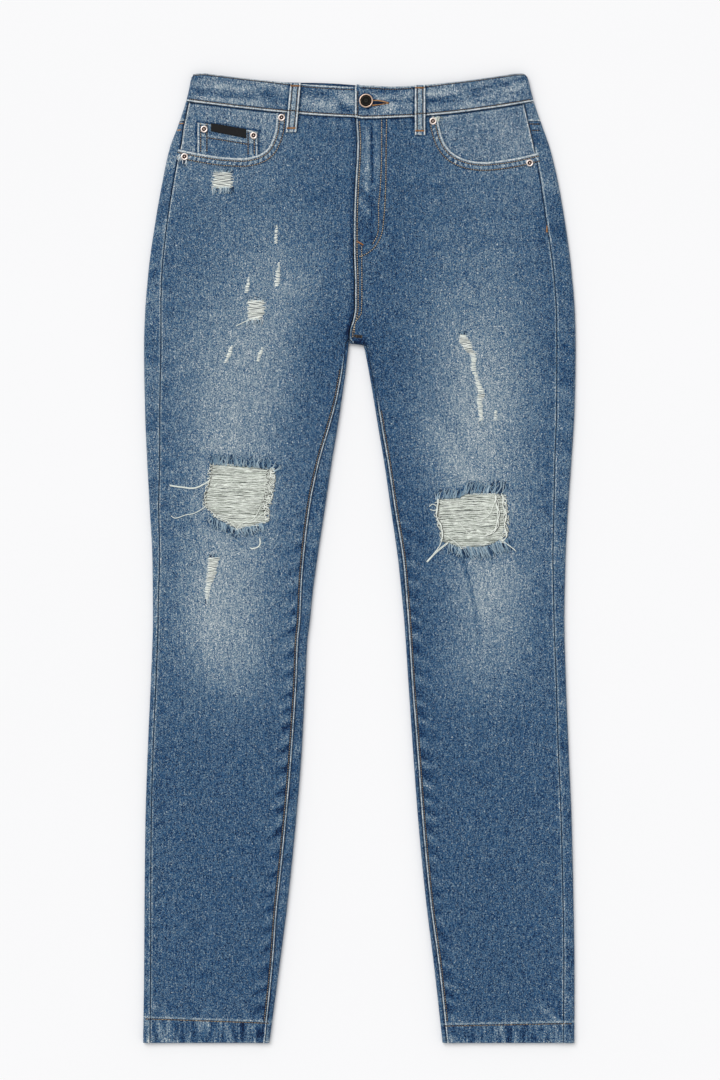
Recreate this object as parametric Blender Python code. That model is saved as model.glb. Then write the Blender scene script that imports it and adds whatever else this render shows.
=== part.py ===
"""High-waisted ripped skinny jeans, laid flat on their back with the front up.

Frame: x runs across (the wearer's left is +x), y from the hems to the waist, z up out of the
front. The ground is z = 0. Tables and constants are in millimetres, and heights are measured up
from the hems; points() turns both into metres in the part's frame.
"""

import math
from collections import namedtuple

import bpy

MM = 0.001
LENGTH = 1066.6          # hem to the highest point of the waistband
DENIM = 1.2              # one layer of cloth
HEM = 2.2                # the turned-up hem
BAND = 2.2               # the doubled waistband
FACING = 1.0             # the lighter cloth behind the pocket mouths
GAP = 0.3                # clearance between sewn pieces
TUCK = 1.6               # how far under the front's outer face a facing's own face lies
WAIST_TRIM = 0.25        # each side of the curved waist seam
FOLD = 3.0               # radius of the side folds, outside
BAND_FOLD = 3.6
QUARTER = FOLD * math.pi / 2
CROTCH = 770.0
HEM_DEPTH = 22.0
BAND_HEIGHT = 33.7       # breadth of the band on the wearer's right
BAND_GAIN = 0.9          # how much broader it lies on the left
END_RISE = 2.4           # and how far its buttoned end stands up there
BAND_TAPER = 2.6         # how much narrower it lies at the side folds
HIP_RISE = 1.2           # the front over the pockets stands this much above the folds
LEG_SAG = 0.8            # the leg fronts lie this much below the folds
BACK_LIFT = 1.5          # the back rides over its pockets and loops
OVERLAP_RISE = 2.5       # the buttoned end of the band lies on the other end
UNDERLAP = 36.0          # how far that other end runs on beneath it
FLY_RISE = 1.8
FLY_WIDTH = 44.0
BACK_PEEK = 3.0          # the back of the band shows this much above the front's right half
YOKE_CENTRE = 960.0      # height of the yoke seam at the centre back
YOKE_SIDE = 1014.0       # and at the side folds
SIDES = {"right": -1, "left": 1}

Pair = namedtuple("Pair", "height right left")
Centre = namedtuple("Centre", "height front back")
Corner = namedtuple("Corner", "x height")

# Distance from the centre line to each side's outer fold.
OUTLINE = [
    Pair(0, 238.9, 236.1), Pair(80, 237.8, 236.2), Pair(160, 237.3, 235.0),
    Pair(240, 236.4, 233.2), Pair(320, 233.9, 229.9), Pair(400, 230.3, 226.7),
    Pair(465, 228.1, 225.1), Pair(530, 228.6, 226.3), Pair(590, 231.7, 229.3),
    Pair(640, 234.4, 232.8), Pair(700, 236.9, 236.4), Pair(766, 237.9, 237.5),
    Pair(800, 236.9, 236.8), Pair(850, 232.9, 232.9), Pair(900, 226.0, 226.3),
    Pair(950, 217.2, 217.6), Pair(985, 209.5, 209.1), Pair(1010, 200.2, 200.4),
    Pair(1035, 192.0, 191.8), Pair(1048, 188.6, 188.3), Pair(1066, 185.5, 184.4),
]
# Distance from the centre line to each leg's inner fold.
LEG_GAP = [
    Pair(0, 99.8, 90.8), Pair(80, 89.2, 82.0), Pair(160, 79.0, 72.2), Pair(240, 70.8, 64.4),
    Pair(320, 64.2, 58.4), Pair(400, 60.0, 53.0), Pair(440, 58.0, 50.4), Pair(465, 55.0, 48.6),
    Pair(490, 52.6, 46.2), Pair(530, 47.4, 42.1), Pair(590, 38.3, 33.6), Pair(640, 30.9, 26.4),
    Pair(680, 24.2, 19.6), Pair(715, 19.1, 13.9), Pair(745, 14.9, 8.6), Pair(764, 12.8, 4.8),
    Pair(767.5, 12.4, 3.8), Pair(CROTCH, 12.0 + GAP / 2, -12.0 + GAP / 2),
]
# How far round from the outer fold, on the front, the outseam runs.
OUTSEAM = [
    Pair(0, 9.6, 14.0), Pair(160, 8.9, 13.3), Pair(320, 8.0, 13.2), Pair(400, 7.7, 12.4),
    Pair(465, 7.7, 13.2), Pair(530, 9.9, 15.6), Pair(590, 12.0, 17.5), Pair(640, 15.8, 20.0),
    Pair(715, 19.0, 22.0), Pair(766, 20.7, 22.6), Pair(850, 17.0, 21.8), Pair(900, 15.2, 22.4),
    Pair(950, 14.2, 21.0), Pair(985, 13.5, 19.0), Pair(1010, 8.0, 16.0), Pair(1035, 5.0, 13.2),
]
# How far round from the inner fold, on the front, the inseam runs.
INSEAM = [
    Pair(0, 6.6, 6.6), Pair(80, 8.6, 6.6), Pair(160, 12.4, 5.8), Pair(320, 12.0, 6.0),
    Pair(400, 11.0, 5.2), Pair(465, 12.1, 5.5), Pair(530, 16.0, 6.6), Pair(590, 18.0, 5.6),
    Pair(640, 15.0, 5.2), Pair(680, 10.0, 5.0), Pair(715, 6.0, 5.0), Pair(745, 5.0, 5.0),
    Pair(CROTCH, 5.0, 5.0),
]
# Where the front and back centre seams lie across.
CENTRE = [
    Centre(CROTCH, -12.0, -12.0), Centre(783, -11.4, -11.0), Centre(797, -7.6, -8.0),
    Centre(810, -5.8, -6.0), Centre(833, -5.8, -4.7), Centre(872, -7.0, -2.5),
    Centre(900, -6.9, -1.4), Centre(945, -5.4, 0.0), Centre(975, -3.6, 0.0),
    Centre(990, -3.2, 0.0), Centre(1014, -4.4, 0.0), Centre(1066, -5.8, 0.0),
]
LEG_ROWS = (0, 21.5, 22.5, 80, 160, 240, 320, 400, 440, 465, 490, 530, 590, 640, 680, 715,
            745, 764, 767.5, CROTCH)
BODY_ROWS = (778, 786, 797, 810, 850, 900, 950, 985, 1014)
TOP_ROW = 1035.0         # nominal height of the waist seam at the sides

# Edge of each scooped front pocket, from the outseam round to the waistband.
POCKET_EDGE = {
    "right": [Corner(-200, 983), Corner(-176, 978), Corner(-148, 974), Corner(-121, 974),
              Corner(-103, 982), Corner(-94.5, 998), Corner(-92, 1012), Corner(-92, 1030)],
    "left": [Corner(196, 979), Corner(165, 972), Corner(132, 969), Corner(108, 975),
             Corner(94, 988), Corner(87, 1008), Corner(85, 1028)],
}
# Worn-through knees, clockwise from the outer top corner of the wearer's right one.
KNEE_HOLE = {
    "right": [Corner(-164, 640), Corner(-133, 636), Corner(-97, 633), Corner(-94, 624),
              Corner(-98.5, 609), Corner(-97, 603), Corner(-103, 582), Corner(-101, 574),
              Corner(-110, 569), Corner(-135, 564), Corner(-147, 574), Corner(-161, 582),
              Corner(-170.5, 590), Corner(-172.5, 601), Corner(-168, 607), Corner(-165, 624)],
    "left": [Corner(86, 598.5), Corner(110, 599.5), Corner(114, 604), Corner(133, 606),
             Corner(151, 605), Corner(158, 601), Corner(160.5, 581), Corner(160, 571),
             Corner(155, 554.5), Corner(146, 549), Corner(132.5, 545.5), Corner(111.5, 542),
             Corner(99, 549), Corner(90, 551), Corner(89, 563), Corner(84, 575)],
}
Loop = namedtuple("Loop", "name top_x foot_x")
FRONT_LOOPS = [Loop("belt_loop_front_right", -70.8, -75.8),
               Loop("belt_loop_front_left", 66.0, 66.0)]
BACK_LOOPS = [Loop("belt_loop_back_right", -112, -112), Loop("belt_loop_back_centre", 0, 0),
              Loop("belt_loop_back_left", 112, 112)]
LOOP_WIDTH = 12.0
LOOP_FOOT = 20.3         # how far the loops reach below the band's seam
LOOP_THICK = 1.8
LOOP_ARCH = 1.2
Rivet = namedtuple("Rivet", "name x height")
RIVETS = [
    Rivet("rivet_pocket_right_top", -86.2, 1018), Rivet("rivet_pocket_right_side", -193, 975),
    Rivet("rivet_pocket_left_top", 80.2, 1014), Rivet("rivet_pocket_left_side", 186.6, 968),
    Rivet("rivet_coin_outer", -171.4, 1005.2), Rivet("rivet_coin_inner", -117, 998.3),
]
RIVET_RADIUS = 4.0
BUTTON_RADIUS = 7.8
BUTTON_X = 6.6
BUTTON_HEIGHT = 1036.0
POCKET_TOP = 942.0
POCKET_POINT = 798.0


# ---------------------------------------------------------------- shape of the garment

def smoothstep(value):
    value = min(1.0, max(0.0, value))
    return value * value * (3 - 2 * value)


def read_table(table, column, height):
    """The table's value at a height, on a curve that never swings past its rows."""
    height = min(max(height, table[0].height), table[-1].height)
    values = [getattr(row, column) for row in table]
    steps = [table[i + 1].height - table[i].height for i in range(len(table) - 1)]
    rises = [(values[i + 1] - values[i]) / steps[i] for i in range(len(steps))]

    def slope(i):
        before, after = rises[max(i - 1, 0)], rises[min(i, len(rises) - 1)]
        return 0.0 if before * after <= 0 else 2 * before * after / (before + after)

    i = next(k for k in range(len(steps)) if height <= table[k + 1].height)
    t = (height - table[i].height) / steps[i]
    bend = t * t * (3 - 2 * t)
    leave = (t ** 3 - 2 * t * t + t) * steps[i] * slope(i)
    arrive = (t ** 3 - t * t) * steps[i] * slope(i + 1)
    return values[i] * (1 - bend) + values[i + 1] * bend + leave + arrive


def half_width(side, height):
    return read_table(OUTLINE, side, height)


def side_of(x):
    return "right" if x < 0 else "left"


def inner_edge(side, face, height):
    """How far out from the centre line a side's cloth begins: its inner fold or centre seam."""
    if height < CROTCH:
        return read_table(LEG_GAP, side, height)
    return SIDES[side] * read_table(CENTRE, face, height) + GAP / 2


def waist_seam(x, face="front"):
    """Height of the seam under the waistband, which dips at the centre."""
    out = min(abs(x), 195.0) / 185.0
    seam = 1018.0 + 17.0 * out ** 1.5
    step = smoothstep((x + 7) / 10 if face == "front" else x / 12)
    seam += (-1.8 + 18.3 * out ** 1.8 - 17.0 * out ** 1.5) * step
    if face == "back" and abs(x + 32.0) < 70.0:
        seam += BACK_PEEK * math.cos(math.pi * (x + 32.0) / 140.0) ** 2
    return seam


def yoke_seam(share):
    """Height of the yoke seam, from the centre back (share 0) to the side fold (share 1)."""
    return YOKE_CENTRE + (YOKE_SIDE - YOKE_CENTRE) * min(share, 1.0)


def front_level(x, height):
    """Height above the ground of the front cloth's outer face, away from the folds."""
    hip = smoothstep((height - 690) / 110)
    wave = 0.35 * math.sin(height / 63 + x / 90) * math.cos(height / 171 - x / 140)
    centre = read_table(CENTRE, "front", height)
    fly = smoothstep((x - centre + 14) / 12) * smoothstep((centre + FLY_WIDTH + 12 - x) / 12)
    fly *= smoothstep((height - 850) / 50)
    relief = (1 - hip) * (wave - LEG_SAG) + hip * HIP_RISE + fly * FLY_RISE
    out = smoothstep((half_width(side_of(x), height) - FOLD - abs(x)) / 26)
    side = "left" if x > centre else "right"
    inside = 1.0
    if height <= CROTCH:
        inside = smoothstep((abs(x) - abs(inner_edge(side, "front", height)) - FOLD) / 22)
    return 2 * FOLD + relief * out * inside


def back_level(x, height):
    """Height above the ground of the back cloth's outer face, away from the folds."""
    plateau = smoothstep((height - 735) / 40)
    return BACK_LIFT * plateau * smoothstep((half_width(side_of(x), height) - abs(x) - 8) / 22)


def section(side, face, height, distance):
    """A point on the outside of the cloth and the way in from it.

    distance runs along one face of one side, from its inner fold or centre seam to the outer
    fold. Both folds are half circles, shared by the front and back faces.
    """
    start = inner_edge(side, face, height)
    radius = FOLD if height <= CROTCH else 0.0
    inner_arc = radius * math.pi / 2
    length = face_length(side, face, height)
    if distance < inner_arc:
        angle = distance / radius
        x = start + radius * (1 - math.cos(angle))
        aside = math.cos(angle)
    elif distance > length - QUARTER:
        angle = (length - distance) / FOLD
        x = half_width(side, height) - FOLD * (1 - math.cos(angle))
        aside = -math.cos(angle)
    else:
        angle = math.pi / 2
        x = start + radius + distance - inner_arc
        aside = 0.0
    x *= SIDES[side]
    rise = math.sin(angle)
    if face == "front":
        z = FOLD + rise * (front_level(x, height) - FOLD)
    else:
        z = FOLD - rise * (FOLD - back_level(x, height))
        rise = -rise
    return (x, height, z), (aside * SIDES[side], 0.0, -rise)


def face_length(side, face, height):
    radius = FOLD if height <= CROTCH else 0.0
    flat = half_width(side, height) - inner_edge(side, face, height) - radius - FOLD
    return flat + radius * math.pi / 2 + QUARTER


# ---------------------------------------------------------------- building blocks

def points(vertices):
    return [(x * MM, (height - LENGTH / 2) * MM, z * MM) for x, height, z in vertices]


def moved(point, way, distance):
    return tuple(p + w * distance for p, w in zip(point, way))


def make_material(name, colour, roughness, metallic=0.0):
    material = bpy.data.materials.new(name)
    material.use_nodes = True
    shader = material.node_tree.nodes["Principled BSDF"]
    shader.inputs["Base Color"].default_value = (*colour, 1.0)
    shader.inputs["Roughness"].default_value = roughness
    shader.inputs["Metallic"].default_value = metallic
    return material


def add_object(name, vertices, faces, finish, smooth=True):
    mesh = bpy.data.meshes.new(name)
    mesh.from_pydata(points(vertices), [], faces)
    mesh.materials.append(make_material(name + "_finish", *finish))
    if smooth:
        mesh.shade_smooth()
        mesh.set_sharp_from_angle(angle=math.radians(35))
    item = bpy.data.objects.new(name, mesh)
    bpy.context.collection.objects.link(item)
    return item


def add_wall(name, rows, finish):
    """A closed wall of cloth from a grid of (outer point, inner point) pairs."""
    tall, wide = len(rows), len(rows[0])
    vertices = [pair[0] for row in rows for pair in row]
    vertices += [pair[1] for row in rows for pair in row]
    inner = tall * wide
    faces = []
    for j in range(tall - 1):
        for i in range(wide - 1):
            a, b = j * wide + i, (j + 1) * wide + i
            faces.append((a, a + 1, b + 1, b))
            faces.append((inner + a, inner + b, inner + b + 1, inner + a + 1))
    rim = [i for i in range(wide)]
    rim += [j * wide + wide - 1 for j in range(1, tall)]
    rim += [(tall - 1) * wide + i for i in range(wide - 2, -1, -1)]
    rim += [j * wide for j in range(tall - 2, 0, -1)]
    for a, b in zip(rim, rim[1:] + rim[:1]):
        faces.append((b, a, inner + a, inner + b))
    return add_object(name, vertices, faces, finish)


def add_slab(name, outline, low, high, finish):
    """A flat piece between two heights above the ground, over an outline that runs clockwise."""
    count = len(outline)
    vertices = [(x, height, low(x, height)) for x, height in outline]
    vertices += [(x, height, high(x, height)) for x, height in outline]
    faces = [tuple(range(count)), tuple(range(2 * count - 1, count - 1, -1))]
    for i in range(count):
        after = (i + 1) % count
        faces.append((after, i, count + i, count + after))
    return add_object(name, vertices, faces, finish)


def ordered(side, row):
    """The same grid runs the other way across on the wearer's right, to keep its faces out."""
    return row if side == "left" else row[::-1]


def scaled_row(height, start, top):
    """A row above `start`, squeezed or stretched to end at `top` and not at the waist seam."""
    if height <= start:
        return height
    return start + (height - start) * (top - start) / (TOP_ROW - start)


# ---------------------------------------------------------------- leg panels

def front_positions(side, height):
    """Distances of a front panel's columns, inseam or centre seam to outseam."""
    first = read_table(INSEAM, side, height) + GAP / 2 if height <= CROTCH else 0.0
    last = face_length(side, "front", height) - read_table(OUTSEAM, side, height) - GAP / 2
    steps = 12
    even = [first + (last - 4.0 - first) * i / steps for i in range(steps + 1)]
    return even + [last - 2.0, last]


def front_leg(side, finish):
    rows = []
    for nominal in LEG_ROWS + BODY_ROWS + (1024.5, TOP_ROW):
        thick = HEM if nominal < HEM_DEPTH else DENIM
        row = []
        for column in range(len(front_positions(side, nominal))):
            height = nominal
            for _ in range(4):
                distance = front_positions(side, height)[column]
                outer, inward = section(side, "front", height, distance)
                height = scaled_row(nominal, 950.0, waist_seam(outer[0]) - WAIST_TRIM)
            row.append((outer, moved(outer, inward, thick)))
        rows.append(ordered(side, row))
    panel = add_wall("front_leg_" + side, rows, finish)
    cutter = opening_cutter(side, panel.name + "_cutter")
    cut = panel.modifiers.new("openings", "BOOLEAN")
    cut.operation = "DIFFERENCE"
    cut.object = cutter
    return panel


def pocket_curve(side):
    """The scooped pocket edge as a smooth line through its corners."""
    corners = POCKET_EDGE[side]
    line = []
    for i in range(len(corners) - 1):
        a, b = corners[max(i - 1, 0)], corners[i]
        c, d = corners[i + 1], corners[min(i + 2, len(corners) - 1)]
        for step in range(2):
            t = step / 2
            line.append(tuple(
                0.5 * (2 * q + (r - p) * t + (2 * p - 5 * q + 4 * r - s) * t * t
                       + (3 * q - p - 3 * r + s) * t ** 3)
                for p, q, r, s in zip(a, b, c, d)))
    return line + [tuple(corners[-1])]


def opening_cutter(side, name):
    """What is cut away from a front panel: its pocket mouth and its worn-through knee."""
    sign = SIDES[side]
    mouth = pocket_curve(side)
    mouth += [(mouth[-1][0], 1080.0), (sign * 240.0, 1080.0), (sign * 240.0, mouth[0][1])]
    vertices, faces = [], []
    for outline in (mouth, list(KNEE_HOLE[side])):
        if signed_area(outline) > 0:
            outline = outline[::-1]
        base, count = len(vertices), len(outline)
        vertices += [(x, height, -4.0) for x, height in outline]
        vertices += [(x, height, 20.0) for x, height in outline]
        faces.append(tuple(base + i for i in range(count)))
        faces.append(tuple(base + i for i in range(2 * count - 1, count - 1, -1)))
        for i in range(count):
            after = (i + 1) % count
            faces.append((base + after, base + i, base + count + i, base + count + after))
    cutter = add_object(name, vertices, faces, ((0.5, 0.5, 0.5), 0.5), smooth=False)
    cutter.hide_render = True
    cutter.display_type = "WIRE"
    return cutter


def signed_area(outline):
    following = outline[1:] + outline[:1]
    return sum(a[0] * b[1] - b[0] * a[1] for a, b in zip(outline, following)) / 2


def outer_columns(side, height, trim):
    """Columns that take the back cloth from the outseam round the outer fold to the back."""
    reach = read_table(OUTSEAM, side, height) - trim
    bend = min(QUARTER, 0.8 * reach)
    length = face_length(side, "front", height)
    steps = (reach, (reach + bend) / 2, bend, bend * 0.67, bend * 0.33)
    return [("front", length - step) for step in steps]


def back_columns(side, height, inner_fold):
    """(face, distance) of each column of the back cloth, outseam to inseam or centre back."""
    columns = outer_columns(side, height, GAP / 2)
    length = face_length(side, "back", height)
    columns += [("back", length - QUARTER * share) for share in (0.0, 0.33, 0.67, 1.0)]
    inner_start = QUARTER if inner_fold else 9.0
    steps = 8
    run = length - QUARTER - inner_start
    columns += [("back", length - QUARTER - run * i / steps) for i in range(1, steps)]
    if not inner_fold:
        return columns + [("back", 9.0 - 1.5 * i) for i in range(7)]
    reach = read_table(INSEAM, side, height) - GAP / 2
    bend = min(QUARTER, 0.8 * reach)
    columns += [("back", QUARTER * share) for share in (1.0, 0.67, 0.33)]
    return columns + [("front", share) for share in (0.0, bend / 2, bend, reach)]


def column_share(side, height, face, distance):
    """0 at the centre back, 1 at the outer fold and round on the front."""
    if face == "front" and height > CROTCH:
        return 1.0
    return distance / face_length(side, "back", height)


def back_leg(side, finish):
    rows = []
    for nominal in LEG_ROWS + BODY_ROWS:
        thick = HEM if nominal < HEM_DEPTH else DENIM
        fold = nominal <= CROTCH
        row = []
        for column in range(len(back_columns(side, nominal, fold))):
            height = nominal
            for _ in range(4):
                face, distance = back_columns(side, height, fold)[column]
                outer, inward = section(side, face, height, distance)
                if nominal > 850:
                    top = yoke_seam(column_share(side, height, face, distance)) - GAP / 2
                    height = 850 + (nominal - 850) * (top - 850) / (YOKE_SIDE - 850)
            row.append((outer, moved(outer, inward, thick)))
        rows.append(ordered(side, row))
    return add_wall("back_leg_" + side, rows, finish)


def yoke(side, finish):
    rows = []
    for share in (0.0, 0.5, 1.0):
        nominal = YOKE_SIDE + (TOP_ROW - YOKE_SIDE) * share
        row = []
        for column in range(len(back_columns(side, nominal, False))):
            height = nominal
            for _ in range(6):
                face, distance = back_columns(side, height, False)[column]
                outer, inward = section(side, face, height, distance)
                low = yoke_seam(column_share(side, height, face, distance)) + GAP / 2
                on = "front" if face == "front" else "back"
                high = waist_seam(outer[0], on) - WAIST_TRIM
                height = low + (high - low) * share
            row.append((outer, moved(outer, inward, DENIM)))
        rows.append(ordered(side, row))
    return add_wall("yoke_" + side, rows, finish)


# ---------------------------------------------------------------- waistband

def band_level(x, end):
    """Outer face of the band's front: its buttoned end climbs over the other one."""
    if end == "over":
        return 2 * BAND_FOLD + OVERLAP_RISE * smoothstep((UNDERLAP + 26 - x) / 24)
    return 2 * BAND_FOLD


def band_height(x, run):
    """The band's breadth at one place."""
    breadth = BAND_HEIGHT - BAND_TAPER * smoothstep((abs(x) - 168) / 20)
    if run == "back":
        return breadth + BAND_GAIN * smoothstep((x + 90) / 180)
    if run in ("over", "left"):
        return breadth + BAND_GAIN + END_RISE * smoothstep((40 - x) / 36)
    return breadth


def band_point(station, share):
    """A point on the band, `share` of the way up it, and the way in from there."""
    run, value = station
    height = 1050.0
    for _ in range(5):
        x, z, inward = band_cut(run, value, height)
        low = waist_seam(x, "back" if run == "back" else "front") + WAIST_TRIM
        height = low + (band_height(x, run) - WAIST_TRIM) * share
    return (x, height, z), inward


def band_cut(run, value, height):
    """Where a station of the band lies at one height: value is x on a run, an angle on a fold."""
    side = run if run in SIDES else side_of(value)
    edge = half_width(side, height) - BAND_FOLD
    if run == "back":
        x = value / 190.0 * edge
        lift = BACK_LIFT * smoothstep((edge - abs(x)) / 24)
        return x, lift, (0.0, 0.0, 1.0)
    if run in ("under", "over"):
        x = value if abs(value) < 80 else math.copysign(
            80 + (abs(value) - 80) / 110.0 * (edge - 80), value)
        return x, band_level(x, run), (0.0, 0.0, -1.0)
    sign = SIDES[run]
    aside, rise = math.cos(value), math.sin(value)
    x = sign * (edge + BAND_FOLD * aside)
    return x, BAND_FOLD * (1 + rise), (-sign * aside, 0.0, -rise)


def waistband(finish):
    """One strip: its plain end, round the right side, the back, the left side, buttoned end."""
    centre = CENTRE[-1].front
    quarters = [math.radians(a) for a in (60, 30, 0, -30, -60)]
    stations = [("under", UNDERLAP - 4), ("under", 14), ("under", centre)]
    stations += [("under", -value) for value in (22, 42, 62, 80, 98, 116, 134, 152, 171, 190)]
    stations += [("right", angle) for angle in quarters]
    stations += [("back", value) for value in range(-190, 191, 19)]
    stations += [("left", angle) for angle in reversed(quarters)]
    stations += [("over", value) for value in (190, 171, 152, 134, 116, 98, 80, 68, 62)]
    stations += [("over", value) for value in (56, 50, 44, 38, 20, centre)]
    rows = []
    for share in (0.0, 0.5, 1.0):
        row = []
        for station in stations:
            outer, inward = band_point(station, share)
            row.append((outer, moved(outer, inward, BAND)))
        rows.append(row[::-1])
    return add_wall("waistband", rows, finish)


def belt_loops(finish):
    """Strips laid on the band, arched a little on the front and flat beneath the back."""
    half = LOOP_WIDTH / 2
    for loop in FRONT_LOOPS:
        seam = waist_seam(loop.top_x)
        over = "over" if loop.top_x > 0 else "under"
        low, high = seam - LOOP_FOOT, seam + band_height(loop.top_x, over)
        rows = []
        for i in range(7):
            share = i / 6
            middle = loop.foot_x + (loop.top_x - loop.foot_x) * share
            height = low + (high - low) * share
            z = 2 * BAND_FOLD + GAP + LOOP_THICK + LOOP_ARCH * math.sin(math.pi * share)
            rows.append([((x, height, z), (x, height, z - LOOP_THICK))
                         for x in (middle - half, middle + half)])
        add_wall(loop.name, rows, finish)
    for loop in BACK_LOOPS:
        seam = waist_seam(loop.top_x, "back")
        low, high = seam - LOOP_FOOT, seam + band_height(loop.top_x, "back")
        x = loop.top_x
        outline = [(x - half, low), (x - half, high), (x + half, high), (x + half, low)]
        add_slab(loop.name, outline, lambda x, h: 0.0, lambda x, h: BACK_LIFT - GAP, finish)


# ---------------------------------------------------------------- pockets, fly and webs

def pocket_facing(side, finish):
    """The cloth behind a pocket mouth, from under the front panel's edge to the outseam."""
    inner_x = 80.0 if side == "right" else 74.0
    rows = []
    for nominal in (950, 985, 1014, 1024.5, TOP_ROW):
        row = []
        for column in range(9):
            height = nominal
            for _ in range(4):
                start = inner_x - inner_edge(side, "front", height)
                end = (face_length(side, "front", height)
                       - read_table(OUTSEAM, side, height) - GAP / 2)
                distance = start + (end - start) * column / 8
                outer, inward = section(side, "front", height, distance)
                height = scaled_row(nominal, 950.0, waist_seam(outer[0]) - WAIST_TRIM)
            face = moved(outer, inward, TUCK)
            row.append((face, moved(face, inward, FACING)))
        rows.append(ordered(side, row))
    return add_wall("pocket_facing_" + side, rows, finish)


def coin_pocket(finish):
    """The small pocket on the right facing, down to the edge of the main pocket's mouth."""
    mouth = [corner for corner in pocket_curve("right") if corner[0] < -108]
    rows = []
    for share in (0.0, 0.5, 1.0):
        row = []
        for i in range(6):
            x = -179.0 + 66.5 * i / 5
            top = 1013.0 - (x + 179.0) / 66.5 * 10.0
            near = min(range(len(mouth) - 1),
                       key=lambda k: abs(mouth[k][0] + mouth[k + 1][0] - 2 * x))
            a, b = mouth[near], mouth[near + 1]
            low = a[1] + (b[1] - a[1]) * (x - a[0]) / (b[0] - a[0]) + 2 * GAP
            height = low + (top - low) * share
            z = front_level(x, height)
            row.append(((x, height, z), (x, height, z - DENIM)))
        rows.append(row)
    return add_wall("coin_pocket", rows, finish)


def coin_label(finish):
    outline = [(-165, 1011.5), (-125.5, 1005.0), (-125.5, 994.5), (-164, 1002.0)]
    lift = GAP * 1.4
    return add_slab("coin_label", outline, lambda x, h: front_level(x, h) + lift,
                    lambda x, h: front_level(x, h) + lift + 0.6, finish)


def fly_underlap(finish):
    """The strip beneath the fly's edge that carries its closure."""
    rows = []
    for height in (885, 920, 955, 985, 1014):
        row = []
        for i in range(6):
            x = -12.0 + 8.0 * i
            z = front_level(x, height) - TUCK - GAP
            row.append(((x, height, z), (x, height, z - DENIM)))
        rows.append(row)
    return add_wall("fly_underlap", rows, finish)


def back_pocket(side, finish):
    """A plain five-sided patch on the back panel."""
    sign = SIDES[side]
    outline = [(sign * 36, POCKET_TOP - 8), (sign * 166, POCKET_TOP),
               (sign * 160, POCKET_POINT + 24), (sign * 100, POCKET_POINT),
               (sign * 41, POCKET_POINT + 18)]
    if signed_area(outline) > 0:
        outline = outline[::-1]
    return add_slab("back_pocket_" + side, outline, lambda x, h: 0.0,
                    lambda x, h: BACK_LIFT - GAP, finish)


def knee_web(side, finish):
    """The cross threads still spanning a worn-through knee, as one thin sheet in the hole."""
    outline = [tuple(corner) for corner in KNEE_HOLE[side]]
    if signed_area(outline) > 0:
        outline = outline[::-1]
    middle_x = sum(x for x, _ in outline) / len(outline)
    middle_height = sum(height for _, height in outline) / len(outline)
    shrunk = [(middle_x + (x - middle_x) * 0.97, middle_height + (height - middle_height) * 0.97)
              for x, height in outline]
    level = front_level(middle_x, middle_height)
    return add_slab("knee_web_" + side, shrunk, lambda x, h: level - 1.1, lambda x, h: level - 0.3,
                    finish)


# ---------------------------------------------------------------- metal

def add_turned(name, x, height, base, profile, segments, finish):
    """A round piece from (radius, rise) stations, bottom centre to top centre."""
    vertices, faces = [(x, height, base + profile[0][1])], []
    rings = profile[1:-1]
    for radius, rise in rings:
        for i in range(segments):
            angle = 2 * math.pi * i / segments
            vertices.append((x + radius * math.cos(angle), height + radius * math.sin(angle),
                             base + rise))
    vertices.append((x, height, base + profile[-1][1]))
    top = len(vertices) - 1
    for i in range(segments):
        after = (i + 1) % segments
        faces.append((0, 1 + after, 1 + i))
        for ring in range(len(rings) - 1):
            a, b = 1 + ring * segments, 1 + (ring + 1) * segments
            faces.append((a + i, a + after, b + after, b + i))
        last = 1 + (len(rings) - 1) * segments
        faces.append((last + i, last + after, top))
    return add_object(name, vertices, faces, finish)


def rivets(finish):
    profile = [(0, 0), (RIVET_RADIUS - 0.3, 0), (RIVET_RADIUS, 0.5), (RIVET_RADIUS - 0.9, 1.4),
               (RIVET_RADIUS - 1.9, 0.9), (1.2, 1.2), (0, 1.4)]
    for rivet in RIVETS:
        base = front_level(rivet.x, rivet.height) + GAP + 0.1
        add_turned(rivet.name, rivet.x, rivet.height, base, profile, 14, finish)


def button(rim_finish, core_finish):
    """A shank button's cap: a rolled rim with a textured disc set in it."""
    base = band_level(BUTTON_X, "over") + GAP
    radius = BUTTON_RADIUS
    dish = radius - 2.2
    rim = [(0, 0), (radius - 1.4, 0), (radius, 1.2), (radius - 0.4, 2.2), (radius - 1.3, 2.7),
           (dish + 0.2, 2.3), (dish, 1.4), (0, 1.4)]
    add_turned("button_rim", BUTTON_X, BUTTON_HEIGHT, base, rim, 28, rim_finish)
    core = [(0, 0), (dish - 0.5, 0), (dish - 0.4, 0.5), (dish - 1.6, 0.9), (0, 1.0)]
    add_turned("button_core", BUTTON_X, BUTTON_HEIGHT, base + 1.4 + GAP, core, 24, core_finish)


def main():
    for item in list(bpy.data.objects):
        bpy.data.objects.remove(item, do_unlink=True)
    denim = ((0.085, 0.145, 0.215), 0.85)
    shaded = ((0.070, 0.120, 0.185), 0.88)
    for side in SIDES:
        front_leg(side, denim)
        back_leg(side, denim)
        yoke(side, denim)
        pocket_facing(side, shaded)
        back_pocket(side, denim)
        knee_web(side, ((0.52, 0.55, 0.51), 0.9))
    waistband(denim)
    belt_loops(denim)
    coin_pocket(denim)
    coin_label(((0.012, 0.012, 0.014), 0.7))
    fly_underlap(shaded)
    rivets(((0.46, 0.38, 0.34), 0.35, 1.0))
    button(((0.50, 0.33, 0.25), 0.32, 1.0), ((0.10, 0.07, 0.06), 0.5, 1.0))


main()
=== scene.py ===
"""Looks of the high-waisted ripped skinny jeans, laid flat on their back with the front up.

Shapes are worked out in millimetres: x runs across (the wearer's left is +x), heights run up from
the hems and z up from the ground. place() turns them into the frame's metres. A shade runs from 0
(unworn indigo) to 255 (bleached white). Besides the cloth's wear, the shades hold painted shade
(dark lines in seams, grooves and folds, and shadows under edges) and painted highlights on metal.
"""

import math
from collections import namedtuple

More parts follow.
